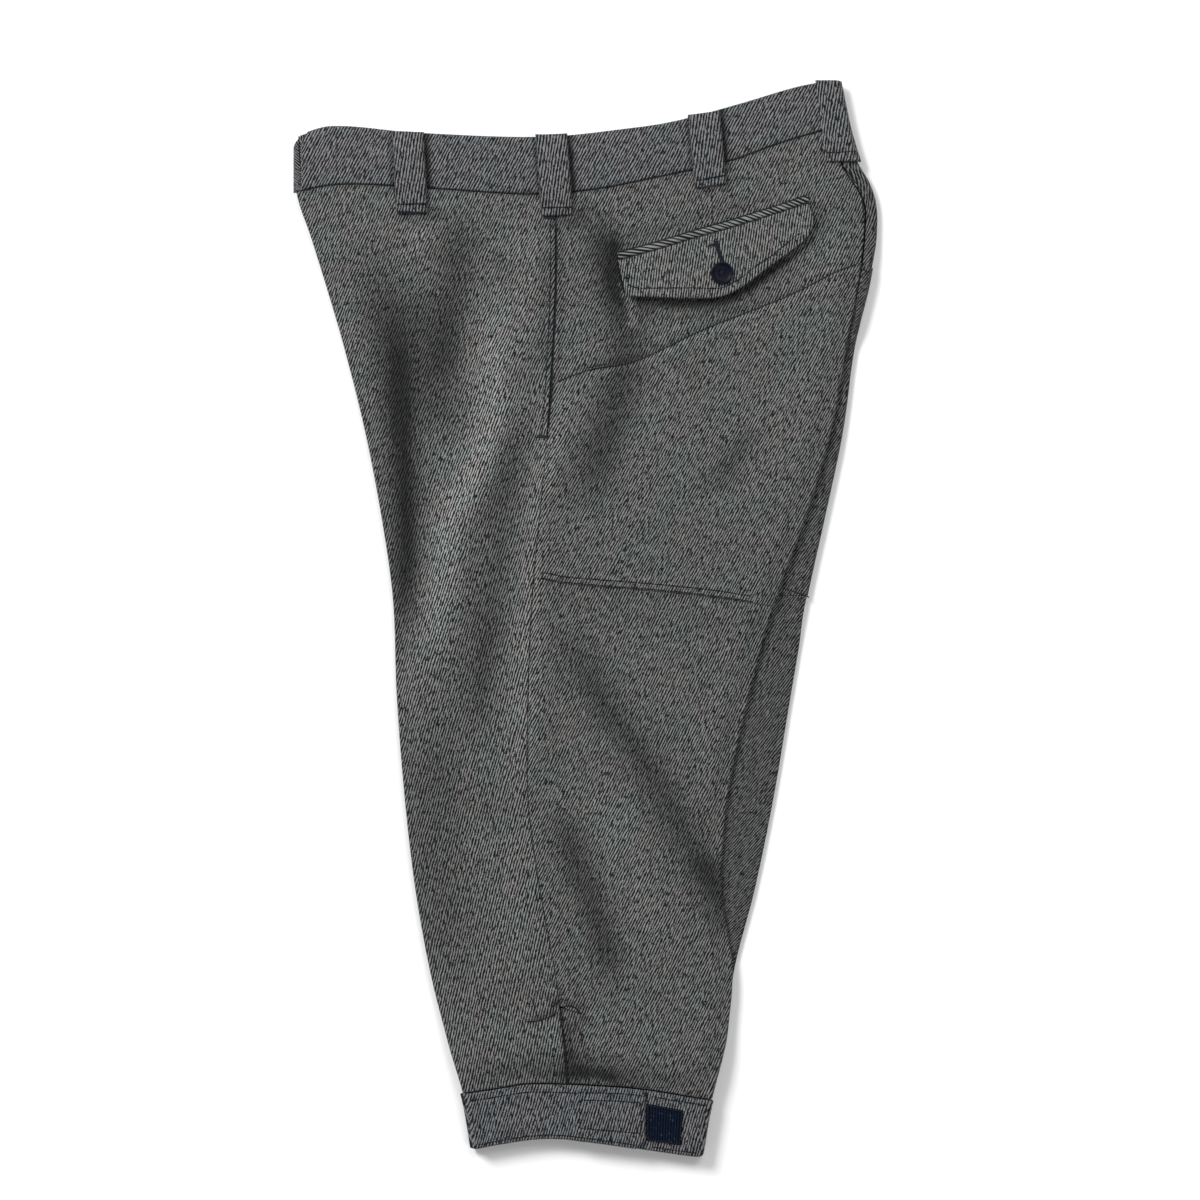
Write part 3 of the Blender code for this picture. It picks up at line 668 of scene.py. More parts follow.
def pocket_edge(grid):
    """The side pocket's mouth: the front panel's edge stands up and back from the side seam."""
    x, y = grid[..., 0], grid[..., 1]
    inside = ease((POCKET_TOP - y) / 8) * ease((y - POCKET_FOOT) / 8) * (grid[..., 2] > TOP_LAYER_FROM)
    away = side_seam(y) - x
    opened = grid.copy()
    opened[..., 0] -= 0.9 * inside * np.exp(-(away / 2.5) ** 2)
    opened[..., 2] += inside * (1.1 * np.exp(-((away - 2.0) / 2.6) ** 2)
                                - 0.3 * np.exp(-((away - 6.5) / 1.5) ** 2))
    return opened


for panel in PANELS:
    lines = spaced(PANEL_LENGTH, MESH_STEP)[:, None]
    row = between(lambda x: cuff_seam(x) + SEAM_GAP, lambda x: waist_seam(x) - SEAM_GAP / 2, lines)
    grid = leg_cloth(panel.half, panel.leg, row, spaced(panel.width, MESH_STEP, ends=(True, False)),
                     spaced(panel.inner, 6.0, ends=(False, True))[1:], ROUND)
    if panel.leg == "left":
        painted_shade = painted_fold_shade(grid)
        on_top = grid[..., 2] > TOP_LAYER_FROM
        grid[..., 2] += crease_waves(grid[..., 0], grid[..., 1], "height") * on_top
    else:
        painted_shade = UNDER_SHADE * (panel.half == "back")
    if (panel.leg, panel.half) == ("left", "front"):
        grid = pocket_edge(grid)
    sew(f"{panel.leg}_{panel.half}", grid, CLOTH, unrolled(grid, panel.lean, panel.bend), wool_cloth,
        painted_shade)

# ---- Seat patches --------------------------------------------------------------------------------
# A second layer of the same twill over the seat of each leg, where breeches wear first. It is cut
# on the slant, turned in at its edges, and sewn down along its top and its lower edge.
PATCH_CLOTH = 0.7               # its thickness, pressed flat
PATCH_GAP = 0.1                 # it lies this close to its panel
PATCH_LENGTH, PATCH_WIDTH, PATCH_LEAN = 210, 190, 0.55

for leg, rise, angles, inner in (("left", 0, ROUND[:5], np.zeros(0)),
                                 ("right", RIGHT_PATCH_RISE, ROUND, np.zeros(1))):
    lines = spaced(PATCH_LENGTH, MESH_STEP)[:, None]
    row = between(lambda x, r=rise: patch_bottom(x) + r, patch_top, lines)
    columns = spaced(PATCH_WIDTH, MESH_STEP, ends=(True, False))
    base = leg_cloth("back", leg, row, columns, inner, angles)
    grid = base + out_of(base) * ((CLOTH + PATCH_CLOTH) / 2 + PATCH_GAP)
    painted_shade = painted_fold_shade(grid) if leg == "left" else UNDER_SHADE
    sew(f"{leg}_seat_patch", grid, PATCH_CLOTH, unrolled(grid, PATCH_LEAN), wool_cloth,
        painted_shade)

# ---- Strips under the vents ----------------------------------------------------------------------
# Above each cuff the side seam is left open, so that the foot can pass, and a single strip of the
# cloth lies under the slit. It is sewn behind the front panel.
STRIP, STRIP_GAP = 1.0, 0.6
STRIP_LENGTH, STRIP_SHARE = 56, 0.15      # the share of the way up to the seat patch
STRIP_FRONT, STRIP_BACK = -10, 28         # where it reaches, from the side seam
STRIP_SHADE = -0.12

for leg, layer, side, rise in (("left", 3, -1, 0), ("right", 0, 1, RIGHT_PATCH_RISE)):
    lines = spaced(STRIP_LENGTH, MESH_STEP)[:, None] * STRIP_SHARE
    row = between(lambda x: cuff_seam(x) + SEAM_GAP, lambda x, r=rise: patch_bottom(x) + r, lines)
    reach = STRIP_FRONT + (STRIP_BACK - STRIP_FRONT) * spaced(STRIP_BACK - STRIP_FRONT, MESH_STEP)
    x, y = meet(row, lambda at, r=reach: side_seam(at) + r)
    z = height(layer, x, y) + side * (CLOTH / 2 + REST_GAP + STRIP_GAP)
    grid = np.stack([x, y, z], 2)
    grid = grid if side < 0 else grid[:, ::-1]
    sew(f"{leg}_vent_underlap", grid, STRIP, unrolled(grid, FACE_LEAN), wool_cloth,
        painted_fold_shade(grid) + STRIP_SHADE)

# ---- Waistband -----------------------------------------------------------------------------------
# A doubled band of the twill, one length for each half, joined at the centre back. It holds the tops
# of the panels between its two layers, and the front ends of the two halves lie on each other.
DOUBLE = 2.4                    # two layers of the twill, pressed
BAND_DEPTH, BAND_LENGTH = 42, 410
BAND_LEAN, RIGHT_BAND_LEAN, BAND_PITCH = 0.53, 0.73, 2.3
LEFT_END, RIGHT_END = -213, -219
CORNER_CUT = 5                  # the front ends are cut back a little at the top
ROUND_IN = 6.5                  # where the right half starts to turn over, inside its edge
band_bottom, band_level = LEVELS[0].right_outer, LEVELS[0].left_outer
band_cloth = wool("wool_twill_bands", 0.95, BAND_PITCH, (0.99, 1.0, 1.03, 1))

Loop = namedtuple("Loop", "name top_x low_x top_y low_y")
BELT_LOOPS = (
    Loop("front", -132.5, -129.5, 364.5, 304),
    Loop("side", -25, -20.5, 362.5, 301.5),
    Loop("back", 89.5, 94.5, 378.5, 323.5),
)
LOOP_WIDTH = 24


def painted_loop_shadows(x, y):
    """Painted shadow on the band in the angle behind each belt loop and a little before it, and painted
    shade along the waist seam.
    """
    shade = -0.4 * np.exp(-((y - waist_seam(x)) / SEAM_REACH) ** 2)
    for loop in BELT_LOOPS:
        down = (loop.top_y - y) / (loop.top_y - loop.low_y)
        aside = x - loop.top_x - (loop.low_x - loop.top_x) * down
        shade = shade - 0.75 * np.exp(-((aside - LOOP_WIDTH / 2 - 1.6) / 3.0) ** 2)
        shade = shade - 0.45 * np.exp(-((aside + LOOP_WIDTH / 2 + 0.8) / 1.8) ** 2)
    return np.clip(shade, -0.8, 0)


def band_row(parts):
    """Lines along the waistband, from its seam to its free edge."""
    return between(lambda x: waist_seam(x) + SEAM_GAP / 2, band_top, parts)


def band_swell(x, part):
    """The band is fuller between its two edges, and ripples a little where it is sewn on."""
    ripple = 0.28 * np.sin(x / 7.5) * np.sin(x / 17.0 + 1) * np.exp(-part * 5)
    return 0.45 * np.sin(np.pi * np.clip(part, 0, 1)) + ripple


parts = spaced(BAND_DEPTH, 2.5)[:, None]
row = band_row(parts)
corner = CORNER_CUT * ease((parts - 0.8) / 0.2) ** 2
x, y = meet(row, lambda at: LEFT_END + corner
            + (back_edge(at) - SEAM_GAP / 2 - LEFT_END - corner) * spaced(BAND_LENGTH, 1.6))
grid = np.stack([x, y, band_level + band_swell(x, parts)], 2)
sew("left_waistband", grid, DOUBLE, unrolled(grid, BAND_LEAN), band_cloth,
    painted_loop_shadows(x, y))

lengths = spaced(BAND_LENGTH, MESH_STEP, ends=(True, False))
x, y = meet(row, lambda at: RIGHT_END + corner
            + (outer_edge(at) - ROUND_IN - RIGHT_END - corner) * lengths)
under = np.stack([x, y, band_bottom + 0 * x], 2)
turn = np.radians(np.linspace(-75, 90, 12))
middle, radius = (band_level + band_bottom) / 2, (band_level - band_bottom) / 2
x, y = meet(row, lambda at: outer_edge(at) - ROUND_IN + radius * np.cos(turn))
round_back = np.stack([x, y, middle + radius * np.sin(turn) + 0 * y], 2)
x, y = meet(row, lambda at: back_edge(at) + SEAM_GAP + 0 * at)
over = np.stack([x, y, band_level + 0 * x], 2)
halfway = (round_back[:, -1:] + over) / 2
grid = np.concatenate([under, round_back, halfway, over], 1)[:, ::-1]
sew("right_waistband", grid, DOUBLE, unrolled(grid, RIGHT_BAND_LEAN), band_cloth)

# ---- Belt loops ----------------------------------------------------------------------------------
# Seven loops of folded twill, three on each half of the band and one over the centre back. Each is
# caught in the top of the band, arches over it, and is turned under and sewn down below the seam.
# The three that the garment lies on are pressed flat.
LOOP, LOOP_ARCH, LOOP_LENGTH = 1.8, 2.4, 60
LOOP_LEAN = 0.16
BACK_LOOP_X, BACK_LOOP_Y, BACK_LOOP_SLANT, BACK_LOOP_LENGTH = 173, 403, 7, 61
loop_level = band_level + DOUBLE / 2 + REST_GAP + LOOP / 2

for loop in BELT_LOOPS:
    down = spaced(LOOP_LENGTH, 2.0)[:, None]
    aside = (spaced(LOOP_WIDTH, 1.5) - 0.5) * LOOP_WIDTH
    x = loop.top_x + (loop.low_x - loop.top_x) * down + aside
    waist_slope = (waist_seam(x + 1) - waist_seam(x - 1)) / 2
    y = (loop.top_y + (loop.low_y - loop.top_y) * down
         + aside * np.clip(waist_slope, -0.2, 0.3) * 0.6)
    for leg, z, arch in (("left", loop_level, LOOP_ARCH), ("right", LOOP / 2, 0)):
        rise = arch * np.sin(np.pi * np.minimum(1, down * 1.1)).clip(0) ** 0.7
        hollow = 0.35 * np.cos(np.pi * aside / LOOP_WIDTH) * (arch > 0)
        sink = 0.5 * ease((down - 0.88) / 0.12) * (arch > 0)
        grid = np.stack(np.broadcast_arrays(x, y, z + rise + hollow - sink), 2)
        grid = grid[::-1] if leg == "left" else grid
        # Painted shadow down each loop's right edge and painted shade along its left edge.
        shade = (-0.45 * np.exp(-((aside - LOOP_WIDTH / 2) / 1.6) ** 2)
                 - 0.30 * np.exp(-((aside + LOOP_WIDTH / 2) / 1.2) ** 2))
        sew(f"belt_loop_{leg}_{loop.name}", grid, LOOP, unrolled(grid, LOOP_LEAN),
            band_cloth, shade)

down = spaced(BACK_LOOP_LENGTH, 2.0)[:, None]
middle = (band_bottom + band_level) / 2
radius = loop_level - middle
y = BACK_LOOP_Y - BACK_LOOP_LENGTH * down
edge = outer_edge(y) - ROUND_IN
start = BACK_LOOP_X + BACK_LOOP_SLANT * down
flat_x = start + (edge - start) * np.linspace(0, 1, 6)[:-1]
turn = np.radians(np.linspace(90, 5, 9))
turn_x = edge + (radius + 0.5) * np.cos(turn)
x = np.concatenate([flat_x, turn_x], 1)
z = np.concatenate([loop_level + 0 * flat_x, middle + radius * np.sin(turn) + 0 * y], 1)
grid = np.stack(np.broadcast_arrays(x, y, z), 2)[::-1]
sew("belt_loop_centre_back", grid, LOOP, unrolled(grid, LOOP_LEAN), band_cloth)

# ---- Cuffs ---------------------------------------------------------------------------------------
# A doubled band round the end of each leg. Its front end laps over the back one as a tab, which
# is meant to close on the hook-and-loop square beside it.
CUFF_TOP, CUFF_FOOT, CUFF_DEPTH, CUFF_LEAN = -357, -401, 43, 0.30
CUFF_DROP = 0.5                 # gap between the cuff and the legs' lower edge
TAB_END_X, TAB_ROOT_X, TAB_SLOPE = 45.4, -3, 10
TAB_CORNER, BACK_CORNER = 6.5, 1.6
CUFF_SWELL = 0.4
cuff_cloth = wool("wool_twill_cuffs", 0.95, 2.1, (0.99, 1.0, 1.05, 1))


def run_of(first, last, step=3.0):
    """Parts from 0 to 1 for a run between two places."""
    return np.linspace(0, 1, max(2, round(abs(last - first) / step)))


for leg, layers, side, shift in (("left", (3, 2), 1, 0), ("right", (0, 1), -1, -2.5)):
    outer_z, inner_z = LEVELS[-1][1 + layers[0]], LEVELS[-1][1 + layers[1]]
    tab_z = outer_z + side * (DOUBLE + REST_GAP)
    parts = spaced(CUFF_DEPTH, 2.5)[:, None]
    level = CUFF_TOP + (CUFF_FOOT - CUFF_TOP) * parts
    radius = abs(outer_z - inner_z) / 2
    front = front_edge(level) + shift + DOUBLE / 2 + radius
    back = (back_edge if leg == "left" else outer_edge)(level) - DOUBLE / 2 - radius
    turn = np.radians(ROUND)
    middle, swing = (outer_z + inner_z) / 2, (outer_z - inner_z) / 2
    tab = TAB_END_X + (TAB_ROOT_X - TAB_END_X) * spaced(48, 2.5, ends=(True, False))
    slope = np.linspace(0, 1, 6)[1:]
    tab_foot = TAB_ROOT_X - TAB_SLOPE
    stretches = [
        (tab + 0 * level, tab_z),
        (TAB_ROOT_X - TAB_SLOPE * slope + 0 * level, tab_z + (outer_z - tab_z) * ease(slope)),
        (tab_foot + (front - tab_foot) * run_of(-13, -85)[1:], outer_z),
        (front - radius * np.cos(turn), middle + swing * np.sin(turn)),
        (front + (back - front) * run_of(-85, 90, 6), inner_z),
        (back + radius * np.cos(turn[::-1]), middle + swing * np.sin(turn[::-1])),
        (back * (1 - spaced(90, 3.0, ends=(False, True))), outer_z),
    ]
    x = np.concatenate([place for place, _ in stretches], 1)
    z = np.concatenate([np.broadcast_to(rise, place.shape) for place, rise in stretches], 1)
    on_tab = np.arange(x.shape[1]) < tab.size
    cut = TAB_CORNER * ease((x - 39.5) / 6) * on_tab + BACK_CORNER * ease((x - 84) / 6)
    low = cuff_seam(x) - CUFF_DROP
    y = low + (hem(x) + cut - low) * parts
    swell = CUFF_SWELL * np.sin(np.pi * parts) * side * np.sign((z - middle) * side).clip(0)
    grid = np.stack([x, y, z + swell], 2)
    cuff_weave = np.stack([side * x - CUFF_LEAN * y, y], 2)
    sew(f"{leg}_cuff", grid, DOUBLE, cuff_weave, cuff_cloth)

# ---- Hip pocket ----------------------------------------------------------------------------------
# A pocket cut into the left back. A narrow welt on the bias binds its upper edge, and a doubled flap
# with a blunt front end and a rounded tip hangs over it from just below the welt.
Rung = namedtuple("Rung", "top_x top_y low_x low_y")
FLAP = (
    Rung(25, 268.5, 31, 241), Rung(52, 275.5, 53, 240), Rung(80, 284, 81, 239),
    Rung(103, 290.5, 103, 240.5), Rung(118, 295, 119, 248), Rung(134, 300, 136, 261),
    Rung(151, 305.5, 156, 275.5), Rung(161, 309, 167, 285), Rung(168, 311.5, 172, 297),
)
FLAP_THICKNESS, FLAP_CLEAR, FLAP_LIFT = 1.8, 0.6, 2.6
FLAP_START, FLAP_LENGTH, FLAP_DEPTH = 25, 143, 45
FLAP_LEAN, FLAP_PITCH = 0.15, 2.0
WELT, WELT_WIDTH, WELT_SWELL = 1.4, 5, 1.3
flap_cloth = wool("wool_twill_flap", 1.04, FLAP_PITCH)
welt_cloth = wool("wool_bias_welt", 0.85, 2.4, salt=0.8)
flap_top_y = through([(r.top_x, r.top_y) for r in FLAP])
flap_low_x = through([(r.top_x, r.low_x) for r in FLAP])
flap_low_y = through([(r.top_x, r.low_y) for r in FLAP])

top_x = FLAP_START + FLAP_LENGTH * spaced(150, 2.2)[:, None]
hang = spaced(FLAP_DEPTH, 2.2)
x = top_x + (flap_low_x(top_x) - top_x) * hang
y = flap_top_y(top_x) + (flap_low_y(top_x) - flap_top_y(top_x)) * hang
lift = FLAP_LIFT * ease(hang) + 0.5 * np.sin(np.pi * hang) + 0.8 * (1 - ease((x - 27) / 18)) * hang
flap_z = height(3, x, y) + CLOTH / 2 + FLAP_CLEAR + FLAP_THICKNESS / 2 + lift
grid = np.stack([x, y, flap_z], 2)
flap_weave = np.stack([x - FLAP_LEAN * y, y], 2)
sew("hip_flap", grid, FLAP_THICKNESS, flap_weave, flap_cloth)

across = spaced(WELT_WIDTH, 1.0, close=(0.7,))
distance = 0.3 + WELT_WIDTH * across
x = top_x + 1 - distance * 0.3
y = flap_top_y(top_x) + distance * 0.95
z = height(3, x, y) + CLOTH / 2 + FLAP_CLEAR + 0.6 + WELT_SWELL * np.sin(np.pi * across) ** 0.7
grid = np.stack([x, y, z], 2)
along = np.hypot(x, y)
welt_weave = np.stack([along * 0.9 + distance * 0.25, along * 0.4 + 0 * x], 2)
# Painted highlight along the welt's crown and painted shade at its two edges.
welt_shade = 0.25 - 2.8 * (across - 0.5) ** 2
sew("hip_welt", grid, WELT, welt_weave, welt_cloth,
    welt_shade)

# ---- Button --------------------------------------------------------------------------------------
# A four-hole trouser button of dark navy plastic with a raised rim, sewn to the pocket with crossed
# thread and pushed through the flap's buttonhole.
BUTTON_X, BUTTON_Y = 103, 258
HOLE_RING, HOLE_RADIUS, HOLE_SIDES, DRILL_REACH = 2.3, 0.9, 16, 5


def speckled(name, roughness, shine, grain, detail):
    """A plain material, and the soft specks in it that tint its colour."""
    material, shader, start = new_material(name, roughness, shine)
    place = start.node("ShaderNodeTexCoord", None, None, "Object")
    specks = place.node("ShaderNodeTexNoise", None, {"Vector": place, "Scale": grain, "Detail": detail})
    return material, shader, specks


resin, shader, cloudy = speckled("button_resin", 0.42, 0.09, 260.0, 2.0)
cloudy.blend((0.0015, 0.002, 0.006, 1), (0.003, 0.005, 0.012, 1)).feed(shader, "Base Color")
(cloudy * 0.25 + 0.28).feed(shader, "Roughness")

Turned = namedtuple("Turned", "radius height")
PROFILE = (                     # from the middle of the face, over the rim, to the middle below
    Turned(0, 1.9), Turned(5.4, 1.9), Turned(6.1, 2.05), Turned(6.7, 2.6), Turned(7.2, 2.95),
    Turned(7.8, 3.0), Turned(8.2, 2.75), Turned(8.4, 2.2), Turned(8.35, 1.2), Turned(7.9, 0.5),
    Turned(7.0, 0.1), Turned(0, 0),
)
flap_face = float(height(3, BUTTON_X, BUTTON_Y)) + CLOTH / 2 + FLAP_CLEAR + FLAP_THICKNESS
button_z = flap_face + FLAP_LIFT * 0.8
mesh = bpy.data.meshes.new("button")
mesh.from_pydata([(turned.radius * MM, 0, turned.height * MM) for turned in PROFILE], [],
                 [(i, i + 1) for i in range(len(PROFILE) - 1)])
button = bpy.data.objects.new("button", mesh)
button.location = ((BUTTON_X - CENTRE[0]) * MM, (BUTTON_Y - CENTRE[1]) * MM, button_z * MM)
scene.collection.objects.link(button)
turning = button.modifiers.new("turn", "SCREW")
turning.steps = turning.render_steps = 64
turning.use_merge_vertices = True
turning.merge_threshold = 0.00001
bore = bpy.data.meshes.new("bore")
angles = [math.tau * i / HOLE_SIDES for i in range(HOLE_SIDES)]
ring = [(HOLE_RADIUS * MM * math.cos(angle), HOLE_RADIUS * MM * math.sin(angle)) for angle in angles]
beyond = [(i + 1) % HOLE_SIDES for i in range(HOLE_SIDES)]
bore.from_pydata([(x, y, z * MM) for z in (-DRILL_REACH, DRILL_REACH) for x, y in ring], [],
                 [list(range(HOLE_SIDES - 1, -1, -1)), list(range(HOLE_SIDES, 2 * HOLE_SIDES))]
                 + [(i, k, HOLE_SIDES + k, HOLE_SIDES + i) for i, k in enumerate(beyond)])
drills = []
for quarter in range(4):
    angle = math.radians(45 + 90 * quarter)
    drill = bpy.data.objects.new(f"drill_{quarter}", bore)
    drill.location = button.location + Vector((math.cos(angle), math.sin(angle), 0)) * HOLE_RING * MM
    scene.collection.objects.link(drill)
    hole = button.modifiers.new("hole", "BOOLEAN")
    hole.object = drill
    drills.append(drill)
bpy.context.view_layer.update()
turned = bpy.data.meshes.new_from_object(button.evaluated_get(bpy.context.evaluated_depsgraph_get()))
button.modifiers.clear()
button.data = turned
for drill in drills:
    bpy.data.objects.remove(drill)
turned.shade_smooth()
turned.set_sharp_from_angle(angle=math.radians(40))
turned.materials.clear()
turned.materials.append(resin)
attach(button, "root")
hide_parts("hip_button")

# ---- Hook-and-loop squares -----------------------------------------------------------------------
# A square of navy hook tape beside each cuff's tab, sewn on round its edge. Its stiff hooks stand in
# close rows down the square.
TAPE, TAPE_LIFT = 0.9, 0.5
FASTENER = ((46.2, -364), (74, -369), (72, -395), (46.2, -391.5))
HOOK_WIDTH, HOOK_LENGTH, HOOK_HEIGHT = 0.5, 0.4, 0.6
tape_cloth, shader, speck = speckled("hook_tape", 0.95, 0.12, 900.0, 1.0)
speck.blend((0.0006, 0.0015, 0.006, 1), (0.001, 0.003, 0.010, 1)).feed(shader, "Base Color")
hook_plastic, shader, lint = speckled("hook_plastic", 0.9, 0.1, 420.0, 0.0)
worn = ((lint - 0.64) * 9).held()
worn.blend((0.006, 0.014, 0.036, 1), (0.05, 0.06, 0.08, 1)).feed(shader, "Base Color")
corners = np.array(FASTENER, float)
SQUARE = ((-1, -1), (1, -1), (1, 1), (-1, 1))


def on_square(u, v):
    """A place on the fastener square, u across it and v up it, each from 0 to 1."""
    return ((1 - u) * ((1 - v) * corners[3] + v * corners[0])
            + u * ((1 - v) * corners[2] + v * corners[1]))


def joined(name, parts, material):
    """One piece made of many small closed shapes."""
    places, faces = [], []
    for some_places, some_faces in parts:
        base = len(places)
        places += some_places
        faces += [tuple(base + k for k in face) for face in some_faces]
    mesh = bpy.data.meshes.new(name)
    mesh.from_pydata(places, [], faces)
    mesh.shade_smooth()
    mesh.materials.append(material)
    piece = bpy.data.objects.new(name, mesh)
    scene.collection.objects.link(piece)
    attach(piece, "root")
    return piece


def hook(place, level, side):
    """One short peg that narrows to its tip."""
    base = [(place[0] + sx * HOOK_WIDTH, place[1] + sy * HOOK_LENGTH, level - 0.1 * side)
            for sx, sy in SQUARE]
    tip = [(place[0] + sx * HOOK_WIDTH * 0.6, place[1] + sy * HOOK_LENGTH * 0.7,
            level + HOOK_HEIGHT * side) for sx, sy in SQUARE]
    points = (np.array(base + tip) - np.array([*CENTRE, 0.0])) * MM
    faces = [(0, 1, 5, 4), (1, 2, 6, 5), (2, 3, 7, 6), (3, 0, 4, 7), (4, 5, 6, 7), (3, 2, 1, 0)]
    return points.tolist(), faces if side > 0 else [face[::-1] for face in faces]


tape_face = {}
for leg, layer, side in (("left", 3, 1), ("right", 0, -1)):
    tape_z = LEVELS[-1][1 + layer] + side * (DOUBLE / 2 + REST_GAP + TAPE_LIFT)
    tape_face[leg] = tape_z + side * TAPE / 2
    flat = on_square(spaced(28, 3.0)[None, :, None], spaced(26, 3.0)[:, None, None])
    grid = np.concatenate([flat, np.full((*flat.shape[:2], 1), tape_z)], 2)
    grid = grid if side > 0 else grid[:, ::-1]
    sew(f"{leg}_fastener", grid, TAPE, grid[..., :2], tape_cloth)
    hooks = [hook(on_square(u, v), tape_face[leg], side)
             for u in np.arange(0.06, 0.95, 0.075) for v in np.arange(0.05, 0.96, 0.036)]
    joined(f"{leg}_fastener_hooks", hooks, hook_plastic)

# ---- Sewing thread -------------------------------------------------------------------------------
# Navy thread, most of it nearly 1 mm thick, holds everything together. Machine stitches dip into the
# cloth at both ends. Close rows of it lock the side pocket's ends and edge the buttonhole.
# Some rows of it are painted shadow: at the side pocket's mouth and in the vent.
THREAD = 0.46                   # radius of the usual thread
DIP = (-0.15, 0.2, 0.2, -0.15)  # height of a stitch's four points over the face of the cloth
LOWEST = -0.25                  # no thread reaches further down than this
SIDES = 6
thread, shader, twist = speckled("navy_thread", 0.7, 0.2, 1500.0, 0.0)
twist.blend((0.0025, 0.003, 0.006, 1), (0.012, 0.013, 0.020, 1)).feed(shader, "Base Color")


def face_of(names, side=1):
    """A function that gives the height of the outermost face of some pieces at x, y."""
    trees = []
    for name in names:
        mesh = bpy.data.objects[name].data
        count = len(mesh.vertices)
        places = np.zeros(count * 3)
        mesh.vertices.foreach_get("co", places)
        trees.append(BVHTree.FromPolygons(places.reshape(-1, 3).tolist(),
                                          [p.vertices[:] for p in mesh.polygons]))

    def level(x, y):
        found = []
        for px, py in zip(np.ravel(x), np.ravel(y)):
            start = Vector(((px - CENTRE[0]) * MM, (py - CENTRE[1]) * MM, side))
            hits = [tree.ray_cast(start, Vector((0, 0, -side)))[0] for tree in trees]
            hits = [hit.z * side for hit in hits if hit]
            found.append(max(hits) * side / MM if hits else np.nan)
        return np.reshape(found, np.shape(x))
    return level


def stitched(points, level, pitch=2.5, fill=0.86, radius=THREAD, side=1):
    """Points and faces of a row of stitches along a path. A stitch that falls past the edge of the
    cloth takes the mean height of its row."""
    x, y, run = smooth_path(points)
    count = max(1, round(run[-1] / pitch))
    middles = (np.arange(count) + 0.5) * run[-1] / count
    reach = run[-1] / count * fill / 2
    at = middles[:, None] + np.array([-1, -0.55, 0.55, 1]) * reach
    px, py = np.interp(at, run, x), np.interp(at, run, y)
    dx = np.interp(at + 0.3, run, x) - np.interp(at - 0.3, run, x)
    dy = np.interp(at + 0.3, run, y) - np.interp(at - 0.3, run, y)
    size = np.hypot(dx, dy) + 1e-9
    dx, dy = dx / size, dy / size
    pz = level(px, py) + side * np.array(DIP)
    pz = np.where(np.isnan(pz), np.nanmean(pz), pz)
    pz = np.maximum(pz, radius + LOWEST)
    turn = np.arange(SIDES) * math.tau / SIDES
    thin = radius * np.array([0.7, 1, 1, 0.7])[:, None]
    rings = np.stack([px[..., None] - dy[..., None] * np.cos(turn) * thin,
                      py[..., None] + dx[..., None] * np.cos(turn) * thin,
                      pz[..., None] + np.sin(turn) * thin], -1)
    places = (rings.reshape(-1, 3) - np.array([*CENTRE, 0.0])) * MM
    faces = []
    for first in range(0, len(places), len(DIP) * SIDES):
        for a in range(first, first + 3 * SIDES, SIDES):
            faces += [(a + k, a + SIDES + k, a + SIDES + (k + 1) % SIDES, a + (k + 1) % SIDES)
                      for k in range(SIDES)]
        faces += [tuple(range(first, first + SIDES)),
                  tuple(range(first + 4 * SIDES - 1, first + 3 * SIDES - 1, -1))]
    return places.tolist(), faces


def along(line, first, last, lift=0.0, step=12):
    """Points of a seam line between two places across the garment."""
    places = np.linspace(first, last, max(3, round(abs(last - first) / step)))
    return [(float(x), float(line(x) + lift)) for x in places]


on_leg = face_of(["cloth_left_front", "cloth_left_back", "cloth_left_seat_patch",
                  "cloth_right_back", "cloth_right_seat_patch", "cloth_left_vent_underlap"])
on_flap = face_of(["cloth_hip_flap"])
on_band = face_of(["cloth_left_waistband", "cloth_right_waistband"])
on_loops = face_of([f"cloth_belt_loop_left_{loop.name}" for loop in BELT_LOOPS]
                   + ["cloth_belt_loop_centre_back"])
on_cuff = face_of(["cloth_left_cuff"])
under_leg = face_of(["cloth_right_front", "cloth_right_back", "cloth_right_seat_patch"], -1)
under_cuff = face_of(["cloth_right_cuff"], -1)

patch_sewing = [
    stitched(along(patch_top, -20, 204, -0.6), on_leg, 2.3, 0.95),
    stitched(along(patch_top, 1, 17, 1.6), on_leg, 2.3),
    stitched(along(patch_bottom, -33, 126, 1.0), on_leg, 2.5),
    stitched(along(patch_bottom, -30, 124, 5.2), on_leg, 2.5),
    stitched([(149, 22), (159, 19), (169, 15)], on_leg, 2.5),
    stitched([(208.5, 261.5), (213, 258.5)], on_leg, 2.5),
    stitched(along(patch_top, -20, 204, -1.2), under_leg, 2.3, side=-1),
    stitched(along(patch_bottom, -33, 160, RIGHT_PATCH_RISE + 1.0), under_leg, 2.5, side=-1),
    stitched(along(patch_bottom, -30, 160, RIGHT_PATCH_RISE + 5.2), under_leg, 2.5, side=-1),
]
joined("seat_patch_stitches", patch_sewing, thread)

mouth_y = np.linspace(POCKET_TOP - 3, POCKET_FOOT + 4, 14)
pocket_mouth = [(float(side_seam(y)) - 4.6, y) for y in mouth_y]
# A gapless row of dark thread right at the side seam is painted shadow in the pocket's mouth.
mouth_shadow_y = np.linspace(POCKET_TOP - 6, POCKET_FOOT + 8, 14)
pocket_mouth_shadow = [(float(side_seam(y)) + 0.1, y) for y in mouth_shadow_y]
side_sewing = [stitched(pocket_mouth, on_leg, 2.6, 0.9, 0.45),
               stitched(pocket_mouth_shadow, on_leg, 2.6, 1.0, 0.6)]
for x_low, x_high, level in ((-31, -21, 300), (-35.5, -26.5, 135.5)):
    for row in np.arange(-0.8, 0.9, 0.4):
        side_sewing.append(stitched([(x_low, level + row + 0.3), (x_high, level + row - 0.2)],
                                    on_leg, 10, 1.0, 0.42))
joined("pocket_stitches", side_sewing, thread)

